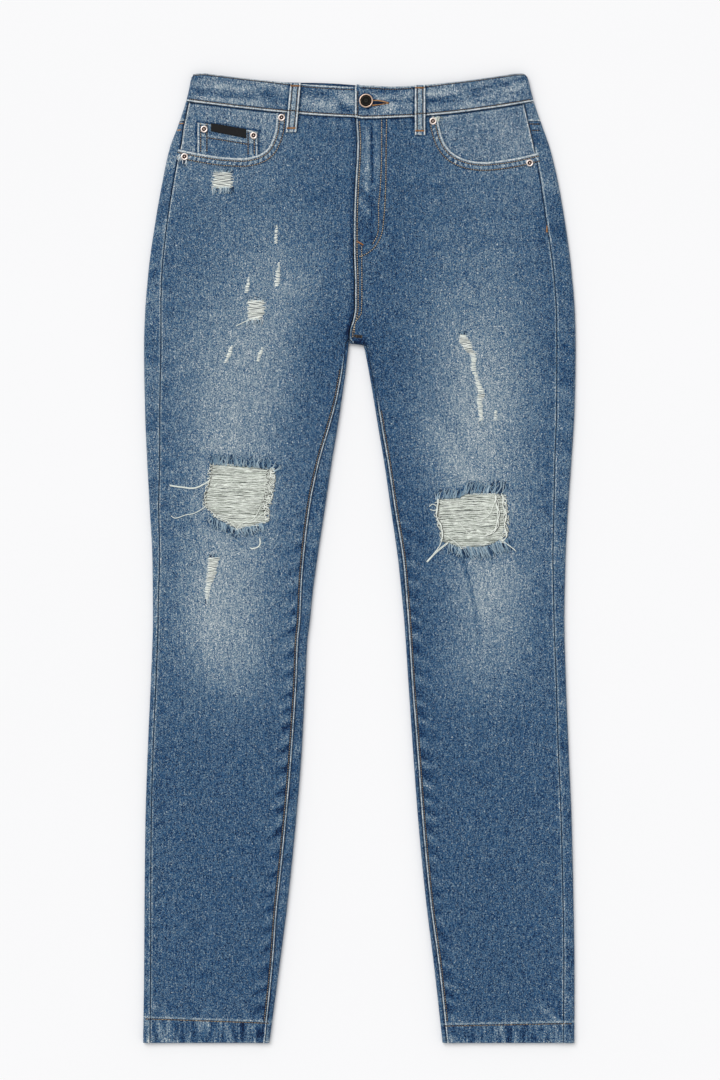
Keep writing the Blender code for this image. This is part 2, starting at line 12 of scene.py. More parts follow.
import bpy
import numpy as np
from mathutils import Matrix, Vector
from mathutils.bvhtree import BVHTree


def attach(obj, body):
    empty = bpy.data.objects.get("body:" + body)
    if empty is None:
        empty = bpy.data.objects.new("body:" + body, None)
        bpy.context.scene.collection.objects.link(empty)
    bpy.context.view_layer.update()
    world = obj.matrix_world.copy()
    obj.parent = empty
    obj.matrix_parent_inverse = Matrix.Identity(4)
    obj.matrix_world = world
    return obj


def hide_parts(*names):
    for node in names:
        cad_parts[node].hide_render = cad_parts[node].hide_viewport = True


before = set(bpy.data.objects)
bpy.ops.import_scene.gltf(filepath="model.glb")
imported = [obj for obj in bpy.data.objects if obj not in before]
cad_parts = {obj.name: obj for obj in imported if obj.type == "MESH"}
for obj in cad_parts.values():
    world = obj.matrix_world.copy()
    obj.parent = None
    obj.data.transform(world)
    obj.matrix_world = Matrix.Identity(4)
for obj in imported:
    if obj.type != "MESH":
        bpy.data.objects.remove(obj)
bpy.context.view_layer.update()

RANDOM = np.random.default_rng(11)
MM = 0.001
LENGTH = 1066.6          # hem to the highest point of the waistband
DENIM = 1.2              # one layer of cloth
BAND = 2.2               # the doubled waistband
GAP = 0.3                # clearance between sewn pieces
TUCK = 1.6               # how far under the front's outer face a facing's own face lies
WAIST_TRIM = 0.25        # each side of the curved waist seam
FOLD = 3.0               # radius of the side folds, outside
BAND_FOLD = 3.6          # and of the waistband's
QUARTER = FOLD * math.pi / 2
CROTCH = 770.0
CROTCH_BLEND = 6.0       # above the crotch the inner folds run out within this height
BAND_HEIGHT = 33.7       # breadth of the band on the wearer's right
BAND_GAIN = 0.9          # how much broader it lies on the left
END_RISE = 2.4           # and how far its buttoned end stands up there
BAND_TAPER = 2.6         # how much narrower it lies at the side folds
OVERLAP_RISE = 2.5       # how far the buttoned end climbs over the plain one
UNDERLAP = 36.0          # how far the plain end runs on under it
HIP_RISE = 1.2
LEG_SAG = 0.8
BACK_LIFT = 1.5
FLY_RISE = 1.8
FLY_WIDTH = 44.0
BACK_PEEK = 3.0          # how far the back's waist seam shows above the front's
YOKE_CENTRE = 960.0
YOKE_SIDE = 1014.0
TOP_ROW = 1035.0         # nominal height of the waist seam at the sides
FRONT_FREE = 950.0       # above this a front panel's rows give way to the waist seam
BACK_FREE = 850.0        # and a back panel's to the yoke seam
INSEAM_HIDDEN = {"right": 738.0, "left": 690.0}      # above this the other cloth hides it
INSEAM_STITCHED = {"right": 742.0, "left": 696.0}    # and its stitches end here
POCKET_BEGINS = {"right": 905.0, "left": 880.0}      # where the facing takes over the outseam
SIDES = {"right": -1, "left": 1}


def named_rows(columns, rows):
    """A table's rows, under the names of its columns."""
    row_type = namedtuple("Row", columns)
    return [row_type(*row) for row in rows]


SIDE_COLUMNS = "height right left"
# Distance from the centre line to each side's outer fold.
OUTLINE = named_rows(SIDE_COLUMNS, [
    (0, 238.9, 236.1), (80, 237.8, 236.2), (160, 237.3, 235.0), (240, 236.4, 233.2),
    (320, 233.9, 229.9), (400, 230.3, 226.7), (465, 228.1, 225.1), (530, 228.6, 226.3),
    (590, 231.7, 229.3), (640, 234.4, 232.8), (700, 236.9, 236.4), (766, 237.9, 237.5),
    (800, 236.9, 236.8), (850, 232.9, 232.9), (900, 226.0, 226.3), (950, 217.2, 217.6),
    (985, 209.5, 209.1), (1010, 200.2, 200.4), (1035, 192.0, 191.8), (1048, 188.6, 188.3),
    (1066, 185.5, 184.4),
])
# Distance from the centre line to each leg's inner fold.
LEG_GAP = named_rows(SIDE_COLUMNS, [
    (0, 99.8, 90.8), (80, 89.2, 82.0), (160, 79.0, 72.2), (240, 70.8, 64.4), (320, 64.2, 58.4),
    (400, 60.0, 53.0), (440, 58.0, 50.4), (465, 55.0, 48.6), (490, 52.6, 46.2), (530, 47.4, 42.1),
    (590, 38.3, 33.6), (640, 30.9, 26.4), (680, 24.2, 19.6), (715, 19.1, 13.9), (745, 14.9, 8.6),
    (764, 12.8, 4.8), (767.5, 12.4, 3.8), (CROTCH, 12.0 + GAP / 2, -12.0 + GAP / 2),
])
# How far round from the outer fold, on the front, the outseam runs.
OUTSEAM = named_rows(SIDE_COLUMNS, [
    (0, 9.6, 14.0), (160, 8.9, 13.3), (320, 8.0, 13.2), (400, 7.7, 12.4), (465, 7.7, 13.2),
    (530, 9.9, 15.6), (590, 12.0, 17.5), (640, 15.8, 20.0), (715, 19.0, 22.0), (766, 20.7, 22.6),
    (850, 17.0, 21.8), (900, 15.2, 22.4), (950, 14.2, 21.0), (985, 13.5, 19.0), (1010, 8.0, 16.0),
    (1035, 5.0, 13.2),
])
# How far round from the inner fold, on the front, the inseam runs.
INSEAM = named_rows(SIDE_COLUMNS, [
    (0, 6.6, 6.6), (80, 8.6, 6.6), (160, 12.4, 5.8), (320, 12.0, 6.0), (400, 11.0, 5.2),
    (465, 12.1, 5.5), (530, 16.0, 6.6), (590, 18.0, 5.6), (640, 15.0, 5.2), (680, 10.0, 5.0),
    (715, 6.0, 5.0), (745, 5.0, 5.0), (CROTCH, 5.0, 5.0),
])
# Where the front and back centre seams lie across.
CENTRE = named_rows("height front back", [
    (CROTCH, -12.0, -12.0), (783, -11.4, -11.0), (797, -7.6, -8.0), (810, -5.8, -6.0),
    (833, -5.8, -4.7), (872, -7.0, -2.5), (900, -6.9, -1.4), (945, -5.4, 0.0), (975, -3.6, 0.0),
    (990, -3.2, 0.0), (1014, -4.4, 0.0), (1066, -5.8, 0.0),
])
# Edge of each scooped front pocket, from the outseam round to the waistband.
POCKET_EDGE = {
    "right": [(-200, 983), (-176, 978), (-148, 974), (-121, 974), (-103, 982), (-94.5, 998),
              (-92, 1012), (-92, 1030)],
    "left": [(196, 979), (165, 972), (132, 969), (108, 975), (94, 988), (87, 1008), (85, 1028)],
}
# Worn-through knees, clockwise from their top corner on the wearer's right.
KNEE_HOLE = {
    "right": [(-164, 640), (-133, 636), (-97, 633), (-94, 624), (-98.5, 609), (-97, 603),
              (-103, 582), (-101, 574), (-110, 569), (-135, 564), (-147, 574), (-161, 582),
              (-170.5, 590), (-172.5, 601), (-168, 607), (-165, 624)],
    "left": [(86, 598.5), (110, 599.5), (114, 604), (133, 606), (151, 605), (158, 601),
             (160.5, 581), (160, 571), (155, 554.5), (146, 549), (132.5, 545.5), (111.5, 542),
             (99, 549), (90, 551), (89, 563), (84, 575)],
}
# Rows of stitches that hold the fly, outer curve and inner, and the short one down to the crotch.
FLY_ROWS = [
    [(29.2, 1016), (28.6, 982), (28.0, 938), (26.4, 911), (24.2, 892), (18.7, 879), (9.9, 870),
     (-1.1, 864.6)],
    [(23.6, 1016), (23.6, 971), (22, 938), (20.4, 922), (20.4, 900), (18.7, 888), (13.2, 878)],
    [(1.8, 877), (1.8, 811), (-0.4, 800), (-5.6, 792), (-6.0, 781)],
]
# Where each hem's stitching runs above its edge, outer side to inner.
HEM_LINE = {"right": (26.6, 21.6), "left": (21.4, 18.6)}
LOOP_WIDTH, LOOP_FOOT, LOOP_THICK, LOOP_ARCH = 12.0, 20.3, 1.8, 1.2
LOOPS = named_rows("name top_x foot_x face", [
    ("belt_loop_front_right", -70.8, -75.8, "front"), ("belt_loop_front_left", 66.0, 66.0, "front"),
    ("belt_loop_back_right", -112.0, -112.0, "back"), ("belt_loop_back_centre", 0.0, 0.0, "back"),
    ("belt_loop_back_left", 112.0, 112.0, "back"),
])

# Fade across the front of each leg, as a shade: at a height, the palest shade and where it lies, how
# far from there it is half gone each way, and the darker cloth beyond.
FADE_COLUMNS = "height middle to_inner to_outer peak inner outer"
FRONT_FADE = {
    "right": named_rows(FADE_COLUMNS, [
        (0, 130, 60, 60, 58, 60, 64), (240, 140, 60, 60, 60, 62, 63), (330, 143, 55, 50, 65, 60, 64),
        (366, 145, 46, 46, 78, 62, 66), (400, 146, 42, 34, 105, 68, 70),
        (432, 156, 47, 32, 127, 70, 76), (465, 162, 54, 29, 138, 66, 78),
        (500, 159, 55, 34, 133, 66, 82), (530, 152, 52, 38, 128, 66, 80),
        (590, 147, 54, 40, 127, 64, 79), (663, 148, 54, 35, 129, 66, 80),
        (696, 139, 54, 43, 127, 62, 81), (729, 132, 57, 54, 125, 60, 80),
        (762, 121, 50, 68, 124, 54, 76), (795, 107, 42, 74, 120, 58, 75),
        (828, 95, 42, 66, 113, 66, 78), (861, 99, 48, 58, 103, 67, 73), (894, 105, 58, 60, 90, 64, 74),
        (927, 130, 84, 70, 84, 60, 74), (960, 165, 84, 60, 92, 66, 90), (1066, 165, 84, 60, 92, 68, 94),
    ]),
    "left": named_rows(FADE_COLUMNS, [
        (0, 145, 60, 60, 56, 62, 60), (240, 145, 60, 60, 60, 58, 62), (330, 135, 50, 50, 64, 54, 62),
        (366, 132, 42, 55, 72, 56, 64), (400, 132, 42, 50, 94, 60, 65), (432, 141, 42, 44, 107, 60, 62),
        (465, 148, 44, 36, 118, 60, 67), (500, 145, 40, 33, 132, 64, 73),
        (531, 135, 40, 44, 119, 58, 77), (590, 130, 44, 46, 127, 56, 72),
        (663, 124, 50, 48, 133, 58, 72), (696, 133, 60, 48, 132, 56, 71),
        (729, 131, 54, 54, 125, 54, 66), (762, 130, 57, 52, 122, 53, 60),
        (795, 130, 66, 50, 110, 52, 65), (828, 130, 66, 50, 95, 57, 71), (861, 138, 62, 50, 88, 60, 66),
        (894, 143, 66, 46, 82, 62, 58), (927, 155, 78, 48, 81, 60, 72), (960, 176, 68, 40, 88, 66, 78),
        (1066, 176, 68, 40, 88, 66, 80),
    ]),
}
# Soft folds and faded lines: a line from (x, height) to (to_x, to_height), how wide it is, how far
# it stands up (or down) and how much paler (wear, with painted light on a raised fold) or darker
# (painted shade in a sunk fold) it is.
CREASE_COLUMNS = "x height to_x to_height width rise fade"
FRONT_CREASES = named_rows(CREASE_COLUMNS, [
    (13.2, 1008, 13.6, 946, 1.1, -0.7, -84), (12.4, 926, 13.4, 884, 2.2, -0.4, -30),
    (8.4, 1002, 7.6, 938, 2.8, 0.5, 40), (18.4, 990, 18.6, 948, 2.4, 0.4, 32),
    (-2.0, 929, 9.8, 914, 1.3, 0.5, 66), (1.0, 938, 12.0, 928, 3.0, -0.3, -26),
    (-14.5, 771, -9.5, 799, 1.8, -0.4, -46), (-6, 799, -7, 880, 2.6, -0.3, -10),
    # the wearer's right hip and thigh
    (-137, 931, -33, 930, 6, -0.3, -6), (-150, 941, -70, 940, 6, 0.25, 5),
    (-160, 905, -60, 908, 7, 0.2, 4), (-80, 880, -28, 888, 7, -0.3, -5),
    (-100, 872, -40, 877, 7, 0.25, 5), (-66, 826, -20, 838, 6, -0.3, -6),
    (-84, 829, -50, 836, 7, 0.3, 9), (-150, 796, -96, 792, 8, -0.2, -4),
    (-30, 926, -29, 900, 3, 0.25, 8), (-17, 852, -15, 840, 7, 0.3, 13),
    (-18, 975, -16, 960, 4, 0.25, 8), (-60, 770, -44, 690, 12, -0.35, -6),
    (-168, 730, -170, 650, 6, 0.25, 7), (-110, 724, -108, 650, 6, 0.25, 5),
    (-140, 700, -138, 655, 5, 0.2, 5), (-125, 715, -124, 652, 5, -0.2, -4),
    (-184, 650, -170, 648, 8, -0.2, -12), (-196, 568, -160, 577, 6, -0.35, -14),
    (-130, 552, -112, 556, 7, -0.25, -7), (-168, 398, -160, 362, 8, -0.2, -5),
    (-130, 384, -132, 322, 8, 0.2, 4), (-168, 133, -168, 34, 1.6, 0.1, 12),
    (-88, 178, -108, 186, 5, -0.3, -8), (-96, 168, -112, 175, 5, 0.25, 6),
    # the wearer's left hip and thigh
    (40, 952, 160, 960, 7, 0.2, 4), (40, 935, 176, 943, 6, -0.2, -4), (52, 921, 180, 930, 7, 0.2, 4),
    (60, 903, 196, 912, 6, -0.25, -5), (74, 893, 186, 901, 7, 0.25, 5),
    (80, 876, 190, 884, 6, -0.2, -4), (74, 862, 186, 866, 7, 0.25, 6),
    (38, 846, 130, 848, 6, -0.25, -6), (60, 825, 170, 820, 8, 0.2, 4),
    (44, 800, 140, 806, 7, -0.2, -4), (82, 708, 130, 636, 7, -0.7, -17),
    (72, 700, 102, 632, 10, 0.5, 10), (112, 640, 124, 622, 6, 0.3, 10),
    (64, 716, 70, 640, 8, 0.2, 6), (170, 720, 172, 640, 7, 0.2, 4),
    (113, 534, 121, 505, 1.5, -0.7, -76), (121, 505, 132, 446, 1.7, -0.5, -44),
    (124, 528, 138, 470, 7, 0.3, 12), (95, 534, 92, 490, 6, -0.25, -8),
    (150, 520, 186, 508, 8, 0.25, 9), (74, 600, 72, 556, 8, -0.3, -14),
    (170, 574, 178, 520, 9, -0.2, -7), (66, 470, 76, 380, 8, -0.2, -6),
    (186, 480, 178, 380, 8, -0.2, -5),
    # cloth that hangs from the fly and the centre seam
    (7, 1008, 8, 940, 8, 0.3, 20), (12.5, 1012, 12.5, 884, 2.0, -0.5, -20),
    (-1, 921, 12, 908, 3, 0.3, 24), (22, 912, 26, 902, 6, -0.2, -14), (24, 884, 18, 868, 6, 0.25, 14),
    (2, 905, 4, 870, 6, -0.2, -12), (4, 868, 6, 800, 5, 0.15, 6), (38, 1004, 40, 900, 7, -0.15, -4),
    (20, 1012, 20, 958, 3, 0.15, 9),
    # above the hems
    (-232, 44, -204, 26, 3, 0.25, 44), (-224, 34, -214, 30, 8, -0.3, -16),
    (-118, 42, -104, 30, 9, -0.3, -14), (-126, 34, -122, 26, 3, 0.2, 40),
    (196, 42, 218, 24, 3, 0.25, 42), (214, 40, 226, 34, 8, -0.3, -16), (110, 30, 112, 24, 5, 0.25, 16),
    (160, 26, 168, 22, 6, 0.25, 14),
])
# The back is pressed flat, so its creases only colour it, with wear and painted shade and light.
BACK_CREASES = named_rows(CREASE_COLUMNS, [
    (30, 742, 120, 716, 8, 0, 10), (-30, 740, -112, 712, 8, 0, 10), (26, 724, 104, 696, 6, 0, -8),
    (-24, 722, -96, 690, 6, 0, -8), (60, 600, 190, 606, 7, 0, 9), (54, 580, 200, 572, 8, 0, -8),
    (58, 556, 176, 566, 7, 0, 9), (66, 534, 196, 528, 8, 0, -8), (-56, 604, -196, 598, 8, 0, 9),
    (-50, 584, -170, 590, 7, 0, -8), (-62, 560, -204, 552, 8, 0, 9),
    (-60, 538, -188, 544, 7, 0, -7), (-20, 860, -90, 790, 9, 0, 7), (18, 858, 84, 794, 9, 0, 7),
    (110, 200, 180, 214, 8, 0, -5), (-120, 170, -190, 160, 8, 0, -5),
])


# ---------------------------------------------------------------- numbers

def smoothstep(value):
    value = np.clip(value, 0.0, 1.0)
    return value * value * (3 - 2 * value)


def bump(value):
    """1 at 0, and nearly nothing past 2 or -2."""
    return np.exp(-value * value)


def read_table(table, column, height):
    """The table's column at each height, on a curve that never swings past its rows."""
    rows = np.array([row.height for row in table], float)
    values = np.array([getattr(row, column) for row in table], float)
    height = np.clip(height, rows[0], rows[-1])
    steps, rises = np.diff(rows), np.diff(values) / np.diff(rows)
    before, after = np.r_[rises[0], rises], np.r_[rises, rises[-1]]
    alike = before * after > 0
    slopes = np.where(alike, 2 * before * after / np.where(alike, before + after, 1), 0)
    i = np.clip(np.searchsorted(rows, height) - 1, 0, len(steps) - 1)
    t = (height - rows[i]) / steps[i]
    bend = t * t * (3 - 2 * t)
    leave = (t ** 3 - 2 * t * t + t) * steps[i] * slopes[i]
    arrive = (t ** 3 - t * t) * steps[i] * slopes[i + 1]
    return values[i] * (1 - bend) + values[i + 1] * bend + leave + arrive


def wobble(value):
    """An uneven wave between about -1 and 1."""
    return (0.5 * np.sin(value + 1.3) + 0.3 * np.sin(2.17 * value + 0.7)
            + 0.2 * np.sin(4.31 * value + 2.1))


def smooth_line(corners, steps=8):
    """A smooth line of points through its corners."""
    corners = np.array(corners, float)
    line = []
    for i in range(len(corners) - 1):
        p, q = corners[max(i - 1, 0)], corners[i]
        r, s = corners[i + 1], corners[min(i + 2, len(corners) - 1)]
        for t in np.arange(steps) / steps:
            line.append(0.5 * (2 * q + (r - p) * t + (2 * p - 5 * q + 4 * r - s) * t * t
                               + (3 * q - p - 3 * r + s) * t ** 3))
    return np.array(line + [corners[-1]])


def spaced(line, step):
    """The line again, with points evenly about a step apart."""
    line = np.asarray(line, float)
    along = np.r_[0, np.cumsum(np.linalg.norm(np.diff(line, axis=0), axis=1))]
    at = np.linspace(0, along[-1], max(2, int(round(along[-1] / step)) + 1))
    return np.stack([np.interp(at, along, column) for column in line.T], axis=1)


def beside(line, away):
    """The line moved sideways, to the left of the way it runs."""
    way = np.gradient(line, axis=0)
    way /= np.linalg.norm(way, axis=1)[:, None]
    return line + away * np.stack([-way[:, 1], way[:, 0]], axis=1)


def paired(x, height):
    """A line of (x, height) points."""
    return np.stack([x, height], axis=1)


def nearest_on(outline, x, height, closed=True):
    """The nearest point of an outline to each point, and how far it is (less than 0 inside)."""
    corners = np.array(outline, float)
    ends = np.roll(corners, -1, axis=0) if closed else corners[1:]
    starts = corners if closed else corners[:-1]
    points = np.stack([np.ravel(x), np.ravel(height)], axis=1)
    best = np.full(len(points), np.inf)
    where = np.zeros_like(points)
    inside = np.zeros(len(points), bool)
    for a, b in zip(starts, ends):
        way = b - a
        t = np.clip(((points - a) @ way) / (way @ way), 0, 1)
        foot = a + t[:, None] * way
        far = np.linalg.norm(points - foot, axis=1)
        closer = far < best
        best[closer], where[closer] = far[closer], foot[closer]
        crosses = (a[1] > points[:, 1]) != (b[1] > points[:, 1])
        rise = b[1] - a[1] if b[1] != a[1] else 1.0
        inside ^= crosses & (points[:, 0] < a[0] + (points[:, 1] - a[1]) * way[0] / rise)
    if closed:
        best = np.where(inside, -best, best)
    shape = np.shape(x)
    return where[:, 0].reshape(shape), where[:, 1].reshape(shape), best.reshape(shape)


def gap_to(line, x, height):
    """How far each point is from an open line."""
    return nearest_on(line, x, height, closed=False)[2]


def squeezed(nominal, low, nominal_top, top):
    """Rows above low, moved evenly so that the one at nominal_top comes to lie at top."""
    share = (nominal - low) / (nominal_top - low)
    return np.where(nominal > low, low + (top - low) * share, nominal + 0 * top)


def along(*stretches):
    """Rows or columns at even steps over each (start, end, step) stretch, each end once."""
    rows = [np.linspace(a, b, max(2, int(round((b - a) / step)) + 1))[:-1]
            for a, b, step in stretches]
    return np.concatenate(rows + [[stretches[-1][1]]])


# ---------------------------------------------------------------- shape of the garment

def half_width(side, height):
    return read_table(OUTLINE, side, height)


def half_width_at(x, height):
    return np.where(x < 0, half_width("right", height), half_width("left", height))


def inner_edge(side, face, height):
    """How far out from the centre line a side's cloth begins: its inner fold or centre seam."""
    fold = read_table(LEG_GAP, side, height)
    seam = SIDES[side] * read_table(CENTRE, face, height) + GAP / 2
    return np.where(height < CROTCH, fold, seam)


def above_crotch(height):
    return smoothstep((height - CROTCH) / CROTCH_BLEND)


# The waist seam on each side: its height at the centre, its climb to the side, and its power.
WAIST_CURVES = ((1018.0, 17.0, 1.5), (1016.2, 18.3, 1.8))


def waist_seam(x, face="front"):
    """Height of the seam under the waistband, which dips at the centre."""
    out = np.minimum(np.abs(x), 195.0) / 185.0
    right, left = (low + climb * out ** power for low, climb, power in WAIST_CURVES)
    seam = right + (left - right) * smoothstep((x + 7) / 10 if face == "front" else x / 12)
    if face == "back":
        peek = BACK_PEEK * np.cos(np.pi * (x + 32.0) / 140.0) ** 2
        seam = seam + np.where(np.abs(x + 32.0) < 70.0, peek, 0.0)
    return seam


def yoke_seam(share):
    """Height of the yoke seam, from the centre back (share 0) to the side fold (share 1)."""
    return YOKE_CENTRE + (YOKE_SIDE - YOKE_CENTRE) * np.minimum(share, 1.0)


def front_level(x, height):
    """Height above the ground of the front cloth's outer face, away from the folds."""
    hip = smoothstep((height - 690) / 110)
    wave = 0.35 * np.sin(height / 63 + x / 90) * np.cos(height / 171 - x / 140)
    centre = read_table(CENTRE, "front", height)
    fly = smoothstep((x - centre + 14) / 12) * smoothstep((centre + FLY_WIDTH + 12 - x) / 12)
    fly = fly * smoothstep((height - 850) / 50)
    relief = (1 - hip) * (wave - LEG_SAG) + hip * HIP_RISE + fly * FLY_RISE
    out = smoothstep((half_width_at(x, height) - FOLD - np.abs(x)) / 26)
    fold = np.where(x > centre, inner_edge("left", "front", height),
                    inner_edge("right", "front", height))
    inside = np.where(height <= CROTCH, smoothstep((np.abs(x) - np.abs(fold) - FOLD) / 22), 1.0)
    return 2 * FOLD + relief * out * inside


def back_level(x, height):
    """Height above the ground of the back cloth's outer face, away from the folds."""
    plateau = smoothstep((height - 735) / 40)
    return BACK_LIFT * plateau * smoothstep((half_width_at(x, height) - np.abs(x) - 8) / 22)


def face_length(side, face, height):
    radius = FOLD * (1 - above_crotch(height))
    flat = half_width(side, height) - inner_edge(side, face, height) - radius - FOLD
    return flat + radius * math.pi / 2 + QUARTER


def section(side, front, height, distance):
    """Where the cloth's outside lies (x, z) and the way in from it.

    distance runs along one face of one side, from its inner fold or centre seam to the outer
    fold, and front says which face.
    """
    start = np.where(front, inner_edge(side, "front", height), inner_edge(side, "back", height))
    radius = np.maximum(FOLD * (1 - above_crotch(height)), 1e-6)
    inner_arc = radius * math.pi / 2
    edge = half_width(side, height)
    from_outer = edge - start - radius - FOLD + inner_arc + QUARTER - distance
    inner, outer = distance < inner_arc, from_outer < QUARTER
    angle = np.where(inner, distance / radius, np.where(outer, from_outer / FOLD, math.pi / 2))
    x = start + radius + distance - inner_arc
    x = np.where(inner, start + radius * (1 - np.cos(angle)), x)
    x = np.where(outer, edge - FOLD * (1 - np.cos(angle)), x) * SIDES[side]
    aside = np.where(inner, 1, -1) * np.cos(angle) * SIDES[side]
    rise = np.sin(angle)
    level = np.where(front, front_level(x, height), back_level(x, height))
    z = FOLD + rise * (level - FOLD)
    return x, z, aside, np.where(front, -rise, rise)


# ---------------------------------------------------------------- materials

def linear(colour):
    """An sRGB colour from 0 to 255 as a shader takes it."""
    share = np.array(colour, float) / 255
    value = np.where(share <= 0.04045, share / 12.92, ((share + 0.055) / 1.055) ** 2.4)
    return (*value, 1.0)


class Nodes:
    """Short ways to add and join the nodes of one material."""

    def __init__(self, name, roughness, metallic=0.0, specular=0.5, sheen=0.0):
        self.material = bpy.data.materials.new(name)
        self.material.use_nodes = True
        self.tree = self.material.node_tree
        self.shader = self.tree.nodes["Principled BSDF"]
        self.fill(self.shader, {"Roughness": roughness, "Metallic": metallic,
                                "Specular IOR Level": specular, "Sheen Weight": sheen})
        self.place = self.add("ShaderNodeTexCoord").outputs["Object"]

    def fill(self, node, inputs):
        """Sets a node's inputs, or joins them to other nodes' outputs."""
        for key, value in inputs.items():
            if isinstance(value, bpy.types.NodeSocket):
                self.tree.links.new(value, node.inputs[key])
            else:
                node.inputs[key].default_value = value

    def add(self, kind, inputs=None, **settings):
        node = self.tree.nodes.new(kind)
        for key, value in settings.items():
            setattr(node, key, value)
        self.fill(node, inputs or {})
        return node

    def attribute(self, name):
        return self.add("ShaderNodeAttribute", attribute_name=name).outputs["Fac"]

    def mapped(self, scale, turn):
        """Places on the object, scaled along each axis and turned about z."""
        return self.add("ShaderNodeMapping", {"Scale": scale, "Rotation": (0, 0, turn),
                                              "Vector": self.place}).outputs["Vector"]

    def noise(self, scale, detail=2.0, roughness=0.55, turn=0.0, distortion=0.0):
        """Noise with a grain of 1 / scale metres along each axis."""
        return self.add("ShaderNodeTexNoise", {
            "Vector": self.mapped(scale, turn), "Scale": 1.0, "Detail": detail,
            "Roughness": roughness, "Distortion": distortion}).outputs["Fac"]

    def bands(self, scale, turn):
        return self.add("ShaderNodeTexWave", {
            "Vector": self.mapped((scale, scale, scale), turn), "Scale": 1.0,
            "Distortion": 1.2}).outputs["Fac"]

    def maths(self, operation, *values):
        return self.add("ShaderNodeMath", dict(enumerate(values)), operation=operation).outputs[0]

    def swung(self, base, wave, amount):
        """base plus amount times how far the wave is from its middle."""
        return self.maths("MULTIPLY_ADD", self.maths("SUBTRACT", wave, 0.5), amount, base)

    def ramp(self, value, stops):
        """The surface's colour, from (position, colour) stops."""
        node = self.add("ShaderNodeValToRGB", {"Fac": value})
        elements = node.color_ramp.elements
        while len(elements) < len(stops):
            elements.new(0.5)
        for element, (position, colour) in zip(elements, stops):
            element.position = position
            element.color = linear(colour)
        self.fill(self.shader, {"Base Color": node.outputs["Color"]})

    def bump(self, height, strength, distance):
        node = self.add("ShaderNodeBump", {"Height": height, "Strength": strength,
                                           "Distance": distance})
        self.fill(self.shader, {"Normal": node.outputs["Normal"]})


# Indigo from unworn to bleached through: a shade's place on the scale, and its colour.
INDIGO = [(0.0, (0, 15, 45)), (0.1, (0, 40, 85)), (0.19, (13, 63, 110)),
          (0.265, (34, 83, 125)), (0.338, (59, 100, 135)), (0.417, (84, 116, 141)),
          (0.489, (106, 131, 147)), (0.57, (132, 150, 159)), (0.685, (169, 181, 186)),
          (0.85, (230, 233, 233))]
# Indigo on an end of warp thread that has frayed free, where no white weft pales it. Its dark end
# also colours the lines and threads that are painted shade.
THREAD_BLUE = [(0.0, (6, 24, 48)), (0.2, (36, 70, 104)), (0.44, (100, 132, 157)),
               (0.6, (138, 164, 182)), (0.78, (180, 198, 207)), (1.0, (230, 235, 236))]


def denim_material(name, grain=1.0, mottled=0.02):
    """Slubby indigo twill: its wear and painted shade are the mesh's, its grain and slubs are noise."""
    n = Nodes(name, roughness=0.92, specular=0.25, sheen=0.06)
    speckle = n.noise((1080, 980, 1080), detail=0.0, turn=0.5, distortion=1.6)
    slub = n.noise((1000, 95, 1000), detail=0.0)
    blotch = n.noise((62, 40, 62), detail=1.0)
    mottle = n.noise((62, 150, 62), detail=3.0, roughness=0.6)
    roping = n.noise((250, 26, 250), detail=2.5, roughness=0.6)
    shade = n.swung(n.attribute("fade"), speckle, 1.44 * grain)
    shade = n.swung(shade, slub, 0.27 * grain)
    shade = n.swung(shade, blotch, 0.03)
    shade = n.swung(shade, mottle, mottled)
    ropes = n.maths("MULTIPLY", n.attribute("rope"), n.maths("SUBTRACT", roping, 0.5))
    n.ramp(n.maths("MULTIPLY_ADD", ropes, 1.1, shade), INDIGO)
    twill = n.bands(330.0, math.radians(58))
    height = n.maths("ADD", n.maths("MULTIPLY", speckle, 0.9), n.maths("MULTIPLY", twill, 0.18))
    height = n.maths("MULTIPLY_ADD", slub, 0.5, height)
    n.bump(height, 0.6, 0.0005)
    return n.material


def yarn_material(name, grain, stops):
    """Spun thread: a little darker between its fibres."""
    n = Nodes(name, roughness=0.9, specular=0.2, sheen=0.05)
    fibre = n.noise((900, 900, 900), detail=3.0, roughness=0.7)
    n.ramp(n.swung(n.attribute("fade"), fibre, grain), stops)
    n.bump(n.bands(700.0, math.radians(35)), 0.4, 0.0002)
    return n.material


def metal_material(name, roughness, scale, stops):
    """Worn metal: its wear shows in its colour, its gloss and its dents; its colour also follows the
    mesh's shades, which hold painted highlights and shade.
    """
    n = Nodes(name, roughness=roughness, metallic=1.0)
    wear = n.noise((scale, scale, scale), detail=3.0, roughness=0.6)
    n.ramp(n.swung(n.attribute("fade"), wear, 0.5), stops)
    n.fill(n.shader, {"Roughness": n.maths("MULTIPLY_ADD", wear, 0.25, roughness - 0.12)})
    n.bump(wear, 0.35, 0.0002)
    return n.material


def tape_material():
    """Plain woven black tape."""
    n = Nodes("black_tape", roughness=0.75, specular=0.3)
    warp, weft = n.bands(420.0, 0.0), n.bands(420.0, math.radians(90))
    weave = n.maths("MULTIPLY", warp, weft)
    dust = n.noise((500, 500, 500), detail=3.0)
    n.ramp(n.swung(weave, dust, 0.8), [(0.0, (8, 8, 9)), (0.6, (20, 20, 22)), (1.0, (44, 44, 47))])
    n.bump(weave, 0.5, 0.0003)
    return n.material


